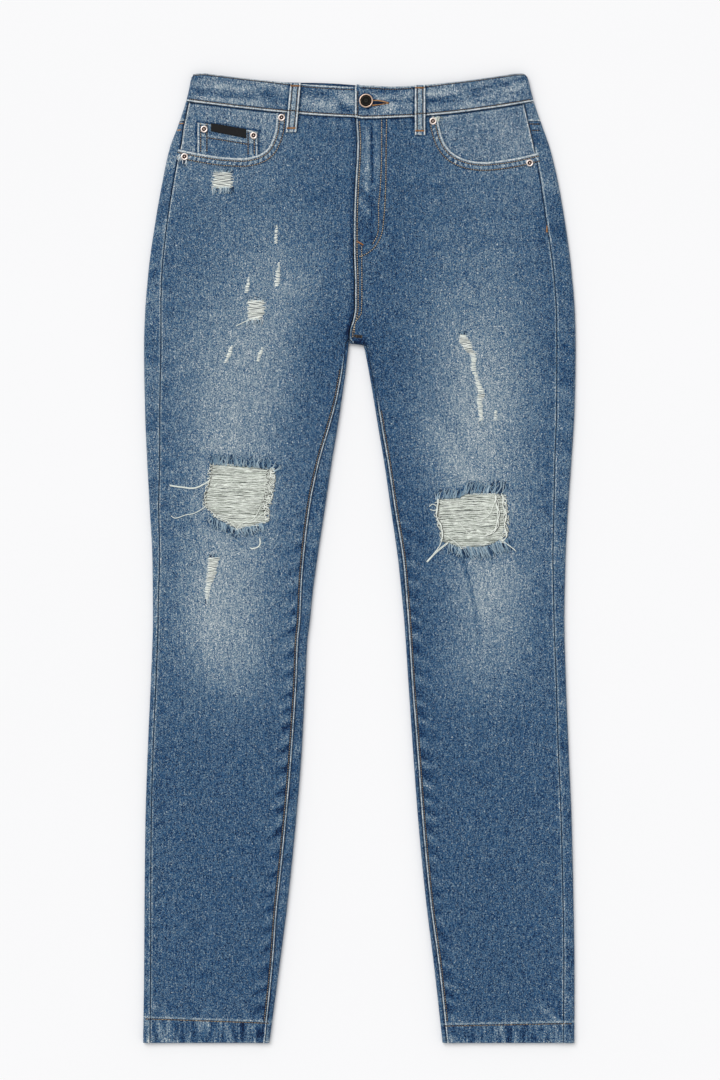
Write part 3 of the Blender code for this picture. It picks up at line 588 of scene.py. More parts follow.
DENIM_CLOTH = denim_material("denim")
BAND_CLOTH = denim_material("denim_band", grain=1.1, mottled=0.46)
FACING_CLOTH = denim_material("facing_denim", grain=1.1, mottled=0.3)
WEFT = yarn_material("weft_yarn", 0.6, [
    (0.0, (74, 74, 72)), (0.2, (132, 135, 128)), (0.5, (190, 197, 188)), (0.78, (228, 234, 225)),
    (1.0, (247, 251, 244))])
WARP_AND_SHADE = yarn_material("warp_yarn", 0.25, THREAD_BLUE)
TOPSTITCH = yarn_material("topstitch", 0.4, [
    (0.0, (20, 20, 26)), (0.35, (66, 58, 54)), (0.7, (158, 142, 120)), (1.0, (222, 206, 178))])
TACK = yarn_material("bar_tack", 0.5, [
    (0.0, (70, 44, 26)), (0.5, (160, 108, 62)), (1.0, (214, 168, 116))])
COPPER = metal_material("copper", 0.32, 900, [
    (0.0, (24, 16, 14)), (0.3, (122, 84, 66)), (0.55, (204, 162, 138)), (0.8, (238, 210, 190))])
DARK_COPPER = metal_material("dark_copper", 0.5, 1500, [
    (0.2, (26, 25, 25)), (0.5, (66, 63, 58)), (0.8, (132, 124, 112))])
RIVET_METAL = metal_material("rivet_metal", 0.34, 900, [
    (0.0, (30, 22, 24)), (0.25, (110, 84, 80)), (0.5, (214, 190, 178)), (0.8, (244, 230, 222))])
TAPE = tape_material()


# ---------------------------------------------------------------- meshes

def place(points):
    """Points (x, height, z) in millimetres as the frame's metres."""
    points = np.asarray(points, float) * MM
    points[..., 1] -= LENGTH * MM / 2
    return points


def make_object(name, vertices, faces, material, attributes=(), smooth=True):
    """A mesh object from arrays; faces is (n, corners)."""
    faces = np.asarray(faces, np.int32)
    mesh = bpy.data.meshes.new(name)
    mesh.vertices.add(len(vertices))
    mesh.vertices.foreach_set("co", place(vertices).astype(np.float32).ravel())
    mesh.loops.add(faces.size)
    mesh.loops.foreach_set("vertex_index", faces.ravel())
    mesh.polygons.add(len(faces))
    mesh.polygons.foreach_set("loop_start", np.arange(0, faces.size, faces.shape[1], dtype=np.int32))
    mesh.update(calc_edges=True)
    mesh.validate()
    for key, values in dict(attributes).items():
        layer = mesh.attributes.new(key, "FLOAT", "POINT")
        layer.data.foreach_set("value", np.asarray(values, np.float32).ravel())
    mesh.materials.append(material)
    if smooth:
        mesh.shade_smooth()
    item = bpy.data.objects.new(name, mesh)
    bpy.context.scene.collection.objects.link(item)
    return item


def grid_faces(tall, wide):
    first = (np.arange(tall - 1)[:, None] * wide + np.arange(wide - 1)).ravel()
    return np.stack([first, first + 1, first + wide + 1, first + wide], axis=1)


def triangles_of(corners):
    """Triangles from groups of their (first, second, third) corners."""
    return np.concatenate([np.stack(three, axis=1) for three in corners])


def shell(name, outer, inward, look, thick=DENIM, material=DENIM_CLOTH, keep=True, flip=False,
          lining=128.0):
    """A closed thin wall from a grid of outer points; keep says which of its cells there are.

    lining is the shade of its inner face.
    """
    tall, wide = outer.shape[:2]
    faces = grid_faces(tall, wide)[np.broadcast_to(keep, (tall - 1, wide - 1)).ravel()]
    if flip:
        faces = faces[:, ::-1]
    count = tall * wide
    after = np.roll(faces, -1, axis=1)
    rim = ~np.isin((faces * count + after).ravel(), (after * count + faces).ravel())
    a, b = faces.ravel()[rim], after.ravel()[rim]
    sides = np.stack([b, a, a + count, b + count], axis=1)
    used, every = np.unique(np.concatenate([faces, faces[:, ::-1] + count, sides]),
                            return_inverse=True)
    vertices = np.concatenate([outer.reshape(-1, 3), (outer + inward * thick).reshape(-1, 3)])
    lining = np.broadcast_to(lining, (tall, wide)).ravel()
    layers = {"fade": np.concatenate([look.fade.ravel(), lining])[used] / 255.0,
              "rope": np.concatenate([look.rope.ravel(), np.zeros(count)])[used]}
    return make_object(name + "_cloth", vertices[used], every.reshape(-1, 4), material, layers)


def wrapped(name, spot, look, **options):
    """A panel that follows the garment round its folds, with its grid of outer points.

    spot holds x, height and z on the garment's outside, and the way in from it (aside, way).
    """
    x, height, z, aside, way = spot
    outer = np.stack([x, height, z - way * look.rise], axis=2)
    inward = np.stack([aside, np.zeros_like(aside), way], axis=2)
    return shell(name, outer, inward, look, **options), outer


def patch(name, x, height, z, look, facing=1, **options):
    """A flat-lying piece with its outside up (facing 1) or down (-1), and its grid."""
    outer = np.stack([x, height, z + facing * look.rise], axis=2)
    inward = np.zeros_like(outer)
    inward[..., 2] = -facing
    turn = (np.diff(x, axis=1)[:-1] * np.diff(height, axis=0)[:, :-1]
            - np.diff(height, axis=1)[:-1] * np.diff(x, axis=0)[:, :-1])
    return shell(name, outer, inward, look, flip=turn.sum() * facing < 0, **options), outer


class Yarns:
    """Many thin threads or stitches, gathered into one mesh."""

    def __init__(self, sides=5):
        self.sides = sides
        self.vertices, self.triangles, self.shades, self.count = [], [], [], 0

    def add(self, line, radius, shade):
        """A tube along a line of (x, height, z) points, closed at both ends."""
        line = np.asarray(line, float)
        n, k = len(line), self.sides
        way = np.gradient(line, axis=0)
        way /= np.maximum(np.linalg.norm(way, axis=1), 1e-9)[:, None]
        aside = np.cross(way, [0.0, 0.0, 1.0])
        aside /= np.maximum(np.linalg.norm(aside, axis=1), 1e-6)[:, None]
        up = np.cross(aside, way)
        turn = 2 * np.pi * np.arange(k) / k
        ring = (np.cos(turn)[None, :, None] * aside[:, None, :]
                + np.sin(turn)[None, :, None] * up[:, None, :])
        points = line[:, None, :] + ring * np.broadcast_to(radius, (n,))[:, None, None]
        self.vertices.append(np.concatenate([points.reshape(-1, 3), line[:1], line[-1:]]))
        a, b = np.arange(k), (np.arange(k) + 1) % k
        rows = np.arange(n - 1)[:, None] * k
        first, after = (rows + a).ravel(), (rows + b).ravel()
        last, tip = (n - 1) * k, np.full(k, n * k)
        self.triangles.append(self.count + triangles_of([
            (first, after + k, after), (first, first + k, after + k), (a, b, tip),
            (last + b, last + a, tip + 1)]))
        shade = np.broadcast_to(shade, (n,))
        self.shades.append(np.concatenate([np.repeat(shade, k), shade[[0, -1]]]))
        self.count += n * k + 2

    def build(self, name, material, slot):
        shades = np.concatenate(self.shades) / 255.0
        item = make_object(name, np.concatenate(self.vertices), np.concatenate(self.triangles),
                           material, {"fade": shades, "rope": np.zeros(len(shades))})
        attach(item, "root")
        return item


# ---------------------------------------------------------------- surface detail

ROLL_AT = 1.0                        # from a turned edge to its worn crown


class Look:
    """How far a cloth stands up (rise, mm), its shade (wear with painted shade and light) and where it
    is roped.
    """

    def __init__(self, rise, fade):
        self.rise, self.fade, self.rope = rise, fade, np.zeros_like(fade)

    def toward(self, shade, share):
        self.fade = self.fade + (shade - self.fade) * np.clip(share, 0, 1)

    def turned_edge(self, away, strength, crown=0.6, groove=0.7, pale=208.0, breadth=0.75,
                    dark=0.35):
        """A turned edge: its worn crown stands up, and it falls away to the seam, painted dark as its
        shadow.
        """
        roll = bump((away - ROLL_AT) / breadth)
        self.rise = self.rise + crown * roll - groove * bump(away / 0.45)
        self.toward(pale, strength * roll)
        # painted shadow in the seam beside the edge
        self.toward(24.0, 0.85 * bump(away / dark))

    def sewn(self, away, dark=0.6):
        """The groove that a row of stitches pulls in the cloth, and a dark line along it: unfaded cloth
        with painted shade in the groove.
        """
        self.rise = self.rise - 0.35 * bump(away / 0.7)
        self.toward(34.0, dark * bump(away / 0.75))

    def hemmed(self, side, x, height):
        """The turned-up hem: thicker, roped and paler, with a worn line over its stitches."""
        line = hem_line(side, x)
        inside = smoothstep((line - height) / 1.2 + 0.5)
        ropes = wobble(x / 2.3 + 0.15 * height) * 0.6 + 0.4 * wobble(x / 5.1 + 4)
        grooves = 0.35 * bump((height - line) / 0.8) + 0.7 * bump(height / 0.6)
        self.rise = self.rise + inside * (0.7 + 0.28 * ropes) - grooves
        self.fade = self.fade + inside * (9 + 30 * ropes)
        self.toward(164.0, 0.85 * bump((height - line - 2.1) / 1.3) * (0.8 + 0.2 * ropes))
        self.fade = self.fade + 22 * bump(height - 1.2)
        self.rope = inside


def creased(x, height, creases):
    """How far the listed creases move the cloth, and the wear and painted shade and light they add."""
    rise, fade = np.zeros_like(x), np.zeros_like(x)
    for line in creases:
        way = np.array([line.to_x - line.x, line.to_height - line.height], float)
        long = np.hypot(*way)
        along = ((x - line.x) * way[0] + (height - line.height) * way[1]) / long
        away = ((x - line.x) * way[1] - (height - line.height) * way[0]) / long
        away = away + 0.12 * line.width * wobble(along / line.width + line.x)
        past = np.maximum(np.maximum(-along, along - long), 0) / line.width
        share = bump(away / line.width) * bump(past)
        share = share * (0.8 + 0.2 * wobble(along / (2.5 * line.width) + line.height))
        rise = rise + line.rise * share
        fade = fade + line.fade * share
    return rise, fade


def puckers(height, away, spacing, seed, reach, slant=0.5):
    """Uneven gathers that a seam draws up in the cloth beside it, from -1 to 1."""
    turn = height / spacing + 0.30 * wobble(height / spacing * 0.61 + seed) + slant * away / spacing
    wave = np.sin(2 * math.pi * turn) + 0.35 * np.sin(4 * math.pi * turn + seed)
    strength = 0.7 + 0.3 * wobble(height / (3.1 * spacing) + 2 * seed)
    return wave / 1.2 * strength * bump((away - 0.45 * reach) / (0.55 * reach))


def hem_line(side, x):
    """Height of the hem's stitching."""
    outer, inner = HEM_LINE[side]
    edge, fold = half_width(side, 0.0), inner_edge(side, "front", np.zeros_like(x))
    return outer + (inner - outer) * np.clip((edge - np.abs(x)) / (edge - fold), 0, 1)


def front_wash_and_crease_shade(x, height):
    """The front's creases with their painted shade and light, and how worn it is, leg by leg, without
    its seams.
    """
    rise, fade = creased(x, height, FRONT_CREASES)
    for side, sign in SIDES.items():
        row = {key: read_table(FRONT_FADE[side], key, height) for key in FADE_COLUMNS.split()[1:]}
        away = x * sign - row["middle"]
        reach = np.where(away < 0, row["to_inner"], row["to_outer"])
        low = np.where(away < 0, row["inner"], row["outer"])
        bell = np.exp(-0.693 * (np.abs(away) / reach) ** 2.4)
        fade = fade + (low + (row["peak"] - low) * bell) * np.clip(sign * (x + 4) / 6 + 0.5, 0, 1)
    return Look(rise, fade)


def shaded_back(x, height):
    """The wash on the back: worn seat and thighs, dark calves."""
    middle = 0.5 * half_width_at(x, height) + 26 * smoothstep((500 - height) / 400)
    leg = np.abs(np.abs(x) - middle)
    seat = 36 * bump((height - 868) / 95) * bump((np.abs(x) - 92) / 74)
    thigh = 40 * bump((height - 660) / 150) * bump(leg / 50)
    calf = 14 * bump((height - 330) / 150) * bump(leg / 46)
    return 63 + seat + thigh + calf


def front_look(side, x, height, to_inner, to_outer):
    """Relief, shade and roping of a front panel; to_inner and to_outer are from its edges."""
    look, left = front_wash_and_crease_shade(x, height), side == "left"
    seed = 4.0 if left else 1.0
    body = smoothstep((height - CROTCH) / 12)
    # gathers beside the seams, on the calf, the thigh and the calf's outer side: paler on their
    # crests and darker in their troughs and right beside the seams, as wear with painted light and
    # shade
    calf = (1 - body) * smoothstep((650 - height) / 120)
    thigh = smoothstep((height - 500) / 120) * smoothstep((930 - height) / 60)
    shin = smoothstep((480 - height) / 120)
    for share, away, spacing, shift, reach, slant, lift, paler in (
            (calf, to_inner, 22.0, 0, 15.0, 0.5, 0.38, 56),
            (thigh, to_outer, 27.0, 2, 13.0, 0.2, 0.28, 18),
            (shin, to_outer, 16.0, 3, 14.0, -0.5, 0.22, 15)):
        wave = puckers(height, away, spacing, seed + shift, reach, slant) * share
        look.rise += lift * wave
        look.fade += paler * wave
    look.fade -= 8 * calf * bump((to_inner - 5) / 6) + 6 * thigh * bump((to_outer - 6) / 5)
    # the outseam, which the pocket's facing takes over; on the left, under the facing's edge, a near
    # black line is painted as its shadow
    worn = 0.46 + 0.14 * wobble(height / 31 + seed)
    pocketed = smoothstep((height - POCKET_BEGINS[side]) / 16)
    worn = worn * (1 - pocketed) if left else worn + 0.35 * pocketed
    look.turned_edge(to_outer, worn, 0.35, dark=0.55)
    look.toward(6.0, 0.9 * pocketed * bump(to_outer / 1.2) * left)
    # the inseam, and above the crotch the left front's edge, lapped over the right one
    leg = 1.0 * (height < CROTCH)
    hidden = smoothstep((height - INSEAM_HIDDEN[side]) / 26) * leg
    strong = (0.86 + 0.12 * wobble(height / 9.0 + seed)) * (1 - hidden)
    sunk = body * smoothstep((792 - height) / 14)
    if left:
        look.turned_edge(to_inner, strong * (1 - 0.92 * sunk), 0.65, 0.7, 222.0, 0.9)
        for row in FLY_ROWS:
            look.sewn(gap_to(smooth_line(row), x, height), dark=0.72)
        look.sewn(to_inner - 3.3, dark=0.95 * body)
    else:
        look.turned_edge(to_inner, strong * leg, 0.65)
        # the right front, under the left one's lapped edge, sunk and painted dark as its shadow
        look.rise -= 1.1 * body * bump(to_inner / 4.2)
        look.fade -= body * ((26 + 74 * sunk) * bump(to_inner / 4.6) + 24 * bump(to_inner / 2.0))
    look.sewn(to_inner - 2.6, dark=0.9 * leg * (1 - hidden))
    # a dark line painted along the top of the gap at the crotch, as its shade
    look.fade -= 75 * (bump((height - CROTCH - 1) / 3.5) * smoothstep((9 - x) / 4)
                       * smoothstep((x + 16) / 4))
    # painted shadow along the belt loops
    look.toward(8.0, 0.85 * beside_loops(x, height))
    # the shade between the frayed ends of the knee's hole
    for fray in FRINGES:
        if np.sign(fray.line[0][0]) == SIDES[side]:
            near = bump(gap_to(fray.line, x - 0.45 * fray.way[0], height - 0.45 * fray.way[1]) / 4.8)
            look.toward(40.0, 0.6 * near)
            look.rise -= 0.2 * near
    # under the waistband: its painted shadow, near black at the seam, and pale worn streaks
    below = waist_seam(x) - height
    look.rise -= 0.8 * bump(below / 2.2)
    look.fade -= 14 * bump(below / 4.5)
    look.toward(0.0, 0.95 * bump(below / 1.2))
    streaks = wobble(x / 2.6) * bump((below - 8) / 9)
    look.rise += 0.12 * streaks
    look.fade += 15 * streaks
    look.hemmed(side, x, height)
    return look


# ---------------------------------------------------------------- leg panels

# Columns lie this far from the edge of a panel, close together where its turned edge rolls over.
# Columns lie this far from the edge of a panel, close together where its turned edge rolls over.
EDGE_STEPS = np.array([0, 0.35, 0.7, 1.05, 1.4, 1.8, 2.2, 2.6, 3.0, 3.5, 4.2, 5.3, 6.7, 8.4, 10.5])


def columns(middle, near):
    """(offset, share) of each column of a panel: an offset in mm, and a share of the rest.

    The first near columns stand close together, over the first ninth of the breadth.
    """
    reach, at = EDGE_STEPS[-1], np.arange(1, middle)
    share = np.where(at <= near, at / near / 9, 1 / 9 + (at - near) / (middle - near) * 8 / 9)
    offset = np.concatenate([EDGE_STEPS, np.full(middle - 1, reach), 2 * reach - EDGE_STEPS[::-1]])
    return offset, np.concatenate([0 * EDGE_STEPS, share, 0 * EDGE_STEPS + 1])


def opened(x, height, outline, reach=3.0):
    """Cells of a grid outside an outline, with the grid's points drawn to it along its line."""
    foot_x, foot_height, far = nearest_on(outline, x, height)
    cell = (far[:-1, :-1] + far[1:, :-1] + far[:-1, 1:] + far[1:, 1:]) / 4 > 0
    kept, cut = np.zeros(x.shape, bool), np.zeros(x.shape, bool)
    for rows in (slice(None, -1), slice(1, None)):
        for cols in (slice(None, -1), slice(1, None)):
            kept[rows, cols] |= cell
            cut[rows, cols] |= ~cell
    rim = kept & cut & (np.abs(far) < reach)
    return np.where(rim, foot_x, x), np.where(rim, foot_height, height), cell, rim


def mouth_line(side):
    """The scooped edge of a front pocket, up to the waistband."""
    line = spaced(smooth_line(POCKET_EDGE[side]), 1.2)
    return line[line[:, 1] < waist_seam(line[:, 0]) - 0.5]


def ragged(outline, seed, step=2.0, depth=0.7):
    """A torn edge: the outline with small uneven nicks."""
    corners = spaced(np.array(list(outline) + [outline[0]], float), step)[:-1]
    way = np.roll(corners, -1, axis=0) - np.roll(corners, 1, axis=0)
    way /= np.linalg.norm(way, axis=1)[:, None]
    nick = depth * wobble(np.arange(len(corners)) * 1.7 + seed)
    return corners + nick[:, None] * np.stack([-way[:, 1], way[:, 0]], axis=1)


LEG_ROWS = along((0, 3, 0.7), (3, 17, 2.2), (17, 30, 0.9), (30, 760, 3.2), (760, 780, 0.9))


def front_leg(side):
    sign = SIDES[side]
    nominal = np.concatenate([LEG_ROWS[:-1], along((780, 1026, 2.9), (1026, TOP_ROW - 6, 1.4),
                                                   (TOP_ROW - 6, TOP_ROW, 0.6))])[:, None]
    offset, share = columns(66, near=18)
    height = nominal + 0 * share
    for _ in range(4):
        first = (read_table(INSEAM, side, height) + GAP / 2) * (1 - above_crotch(height))
        last = face_length(side, "front", height) - read_table(OUTSEAM, side, height) - GAP / 2
        distance = first + offset + (last - first - 2 * EDGE_STEPS[-1]) * share
        x, z, aside, way = section(side, True, height, distance)
        height = squeezed(nominal, FRONT_FREE, TOP_ROW, waist_seam(x) - WAIST_TRIM)
    mouth = smooth_line(POCKET_EDGE[side])
    beyond = [(mouth[-1, 0], 1090), (sign * 245, 1090), (sign * 245, mouth[0, 1])]
    x, height, keep, rim = opened(x, height, np.concatenate([mouth, beyond]))
    x, height, clear, torn = opened(x, height, ragged(KNEE_HOLE[side], sign))
    z = np.where(rim | torn, front_level(x, height), z)
    look = front_look(side, x, height, distance - first, last - distance)
    return wrapped("front_leg_" + side, (x, height, z, aside, way), look, keep=keep & clear,
                   flip=sign < 0)


# Columns of the back cloth: each strip round on the front, each fold, and the back between.
STRIP, TURN, MIDDLE = 10, 5, 34
CENTRE_STRIP = 9.0                   # breadth that its last columns share above the crotch


def back_grid(side, nominal, height_of):
    """Where the back cloth lies, from its strip on the front's outer side to the inner one.

    Distances (run) go from the outer fold's edge: below 0 on the front, above on the back.
    Heights follow height_of(share, x, front) once the columns have their places.
    """
    arc, edge = np.arange(TURN) / TURN, np.arange(STRIP)
    share = np.concatenate([(edge / STRIP) ** 1.7, arc, np.arange(MIDDLE) / MIDDLE, arc,
                            1 - (1 - edge / (STRIP - 1)) ** 1.7])
    stretch = np.repeat(np.arange(5), [STRIP, TURN, MIDDLE, TURN, STRIP])
    column = np.arange(len(share))
    tail = (column - (STRIP + TURN + MIDDLE)) / (TURN + STRIP - 1)
    height = nominal + 0 * share
    for _ in range(5):
        t = above_crotch(height)
        length = face_length(side, "back", height)
        start = GAP / 2 - read_table(OUTSEAM, side, height)
        turn = length - QUARTER * (1 - t) - CENTRE_STRIP * t
        end = length + (read_table(INSEAM, side, height) - GAP / 2) * (1 - t)
        stops = np.stack([start, 0 * start, 0 * start + QUARTER, turn, length, end])
        low, high = (stops[stretch + i, :, column].T for i in (0, 1))
        run = low + (high - low) * share
        spread = length - CENTRE_STRIP * (1 - tail)
        run = np.where(tail >= 0, run * (1 - t) + spread * t, run)
        front = (run < 0) | (run > length)
        from_inner = np.where(run < 0, face_length(side, "front", height) + run,
                              np.abs(length - run))
        x, z, aside, way = section(side, front, height, from_inner)
        out = np.where(run < 0, 1.0, np.clip((length - run) / length, 0, 1))
        height = height_of(out, x, front)
    return (x, height, z, aside, way), run, (start, length, end), out, front


def back_look(side, spot, run, edges, front):
    """Relief, shade and roping of the cloth that wraps round to the back."""
    (x, height, *_), (start, length, end) = spot, edges
    right = side == "right"
    seed = 7.0 if right else 9.0
    seen = np.where(front, 1.0, smoothstep((12 - np.minimum(run, length - run)) / 12))
    back = shaded_back(x, height) + creased(x, height, BACK_CREASES)[1]
    outer = read_table(FRONT_FADE[side], "outer", height) + 4 - 3 * smoothstep((height - 700) / 200)
    inner = read_table(FRONT_FADE[side], "inner", height) + 3
    wave = puckers(height, run - start, 21.0, seed, 10.0)
    look = Look(0.15 * wave, back * (1 - seen) + np.where(run < length / 2, outer, inner) * seen)
    patches = wobble(height / 13.0 + seed) + 0.7 * wobble(height / 5.3 + run / 9 + 2 * seed)
    look.fade += (7 * wave + 15 * patches) * front
    # faded folds at both sides of the leg
    leg = 1 - above_crotch(height)
    look.fade += 13 * bump(run / 1.6) + 13 * leg * bump((run - length) / 1.6)
    worn = 0.42 + 0.14 * wobble(height / 27 + seed)
    worn = worn + (0.2 * smoothstep((height - 700) / 150) if right
                   else 0.42 * smoothstep((height - 872) / 16))
    # where the pocket's facing lies over the outseam, the seam is painted near black as its shadow
    dark = smoothstep((height - POCKET_BEGINS[side]) / 16 if right else (height - 982) / 6)
    look.turned_edge(run - start, worn * (1 - dark), 0.35, breadth=0.85, dark=0.55)
    look.toward(6.0, 0.9 * dark * bump((run - start) / 1.2))
    # painted shade in the groove along the inner fold
    groove = leg * bump(end - run)
    look.rise -= 0.9 * groove
    look.fade -= 34 * groove
    look.hemmed(side, x, height)
    look.rise = np.where(front, look.rise, 0.0)
    return look


def back_leg(side):
    nominal = np.concatenate([LEG_ROWS[:-1], along((780, 1008, 3.4), (1008, YOKE_SIDE, 1.2))])
    nominal = nominal[:, None]

    def heights(share, x, front):
        return squeezed(nominal, BACK_FREE, YOKE_SIDE, yoke_seam(share) - GAP / 2)

    spot, run, edges, share, front = back_grid(side, nominal, heights)
    look = back_look(side, spot, run, edges, front)
    # painted shade under the yoke seam
    look.fade -= 12 * bump((yoke_seam(share) - spot[1]) / 3.0)
    return wrapped("back_leg_" + side, spot, look, flip=side == "right")


def yoke(side):
    up = along((0, 0.08, 0.03), (0.08, 0.92, 0.06), (0.92, 1.0, 0.03))[:, None]

    def heights(share, x, front):
        low = yoke_seam(share) + GAP / 2
        high = np.where(front, waist_seam(x), waist_seam(x, "back")) - WAIST_TRIM
        return low + (high - low) * up

    nominal = YOKE_SIDE + (TOP_ROW - YOKE_SIDE) * up
    spot, run, edges, _, front = back_grid(side, nominal, heights)
    look = back_look(side, spot, run, edges, front)
    look.turned_edge((TOP_ROW - YOKE_SIDE) * up, 0.75, 0.5)
    look.rise = np.where(front, look.rise, 0.0)
    look.fade += 10 * front
    return wrapped("yoke_" + side, spot, look, flip=side == "right")


# ---------------------------------------------------------------- waistband

BAND_CREASES = named_rows(CREASE_COLUMNS, [
    (13, 1047, 40, 1044, 3.6, -0.4, -30), (-24, 1028, -9, 1026, 3.0, -0.4, -26),
    (-17, 1042, -11, 1034, 3.6, 0.3, 12), (30, 1026, 37, 1024, 2.6, 0.3, 20),
    (-3, 1022, -2, 1046, 3.0, -0.2, -20), (2, 1026, 16, 1026, 3.0, -0.3, -20),
    (77, 1036, 187, 1063, 2.2, -0.7, -34), (70, 1043, 120, 1046, 3, 0.5, 26),
    (120, 1042, 172, 1046, 3.5, -0.5, -26), (76, 1039, 150, 1036, 2.4, -0.5, -22),
    (118, 1038, 180, 1050, 3, 0.5, 28), (34, 1036, 99, 1036, 1.7, -0.6, -24),
    (28, 1031, 58, 1030, 3, 0.3, 18), (104, 1029, 170, 1033, 4, 0.3, 18),
    (22, 1047, 60, 1050, 3, -0.4, -20), (30, 1042, 74, 1044, 3, 0.4, 20),
    (-186, 1050, -164, 1047, 2.4, -0.5, -24), (-176, 1046, -120, 1040, 3, -0.4, -20),
    (-172, 1052, -118, 1050, 3.2, 0.5, 24), (-170, 1038, -112, 1033, 3, 0.4, 22),
    (-66, 1046, -38, 1044, 5.5, -0.4, -26), (-60, 1034, -30, 1031, 3.4, 0.4, 22),
    (-104, 1044, -82, 1034, 4, -0.4, -22), (-30, 1050, -12, 1034, 4, 0.3, 16),
    (-26, 1043, -18, 1030, 2.4, -0.3, -22), (-110, 1056, -84, 1052, 3, 0.3, 20),
])
BAND_ROW = 2.9                       # from the band's lower edge up to its stitches


def top_row(x):
    """How far below the band's upper edge its stitches run."""
    return 1.5 + 1.5 * smoothstep((110 - np.abs(x)) / 60)


def beside_loops(x, height):
    """1 in the shadow along both sides of each front belt loop, and 0 away from it."""
    shadow = np.zeros_like(x)
    for loop in LOOPS[:2]:
        seam = waist_seam(loop.top_x)
        share = (height - seam + LOOP_FOOT) / (LOOP_FOOT + BAND_HEIGHT)
        away = np.abs(x - loop.foot_x - (loop.top_x - loop.foot_x) * share) - LOOP_WIDTH / 2
        shadow = shadow + bump((away - 0.9) / 1.0) * (share > 0)
    return shadow


def band_level(x):
    """The buttoned end of the band climbs over the other one."""
    return 2 * BAND_FOLD + OVERLAP_RISE * smoothstep((UNDERLAP + 26 - x) / 24)


def band_cut(run, value, height):
    """Where the band's outside lies (x, z), and the way in from it."""
    edge = (half_width(run, height) if run in SIDES else half_width_at(value, height)) - BAND_FOLD
    if run == "back":
        x = value / 190.0 * edge
        return x, BACK_LIFT * smoothstep((edge - np.abs(x)) / 24), 0 * x, 1 + 0 * x
    if run in SIDES:
        aside, rise = np.cos(value), np.sin(value)
        x = SIDES[run] * (edge + BAND_FOLD * aside)
        return x, BAND_FOLD * (1 + rise) + 0 * x, -SIDES[run] * aside + 0 * x, -rise + 0 * x
    far = 80 + (np.abs(value) - 80) / 110.0 * (edge - 80)
    x = np.where(np.abs(value) < 80, value, np.sign(value) * far)
    z = band_level(x) if run == "over" else 2 * BAND_FOLD + 0 * x
    return x, z, 0 * x, -1 + 0 * x


def band_height(x, run):
    """The band's breadth at one place."""
    breadth = BAND_HEIGHT - BAND_TAPER * smoothstep((np.abs(x) - 168) / 20)
    if run == "back":
        return breadth + BAND_GAIN * smoothstep((x + 90) / 180)
    if run in ("over", "left"):
        return breadth + BAND_GAIN + END_RISE * smoothstep((40 - x) / 36)
    return breadth


# How far the band's rows lie from its edges, where they are close together.
BAND_STEPS = np.array([0, 0.35, 0.7, 1.05, 1.4, 1.8, 2.2, 2.6, 3.0, 3.4])


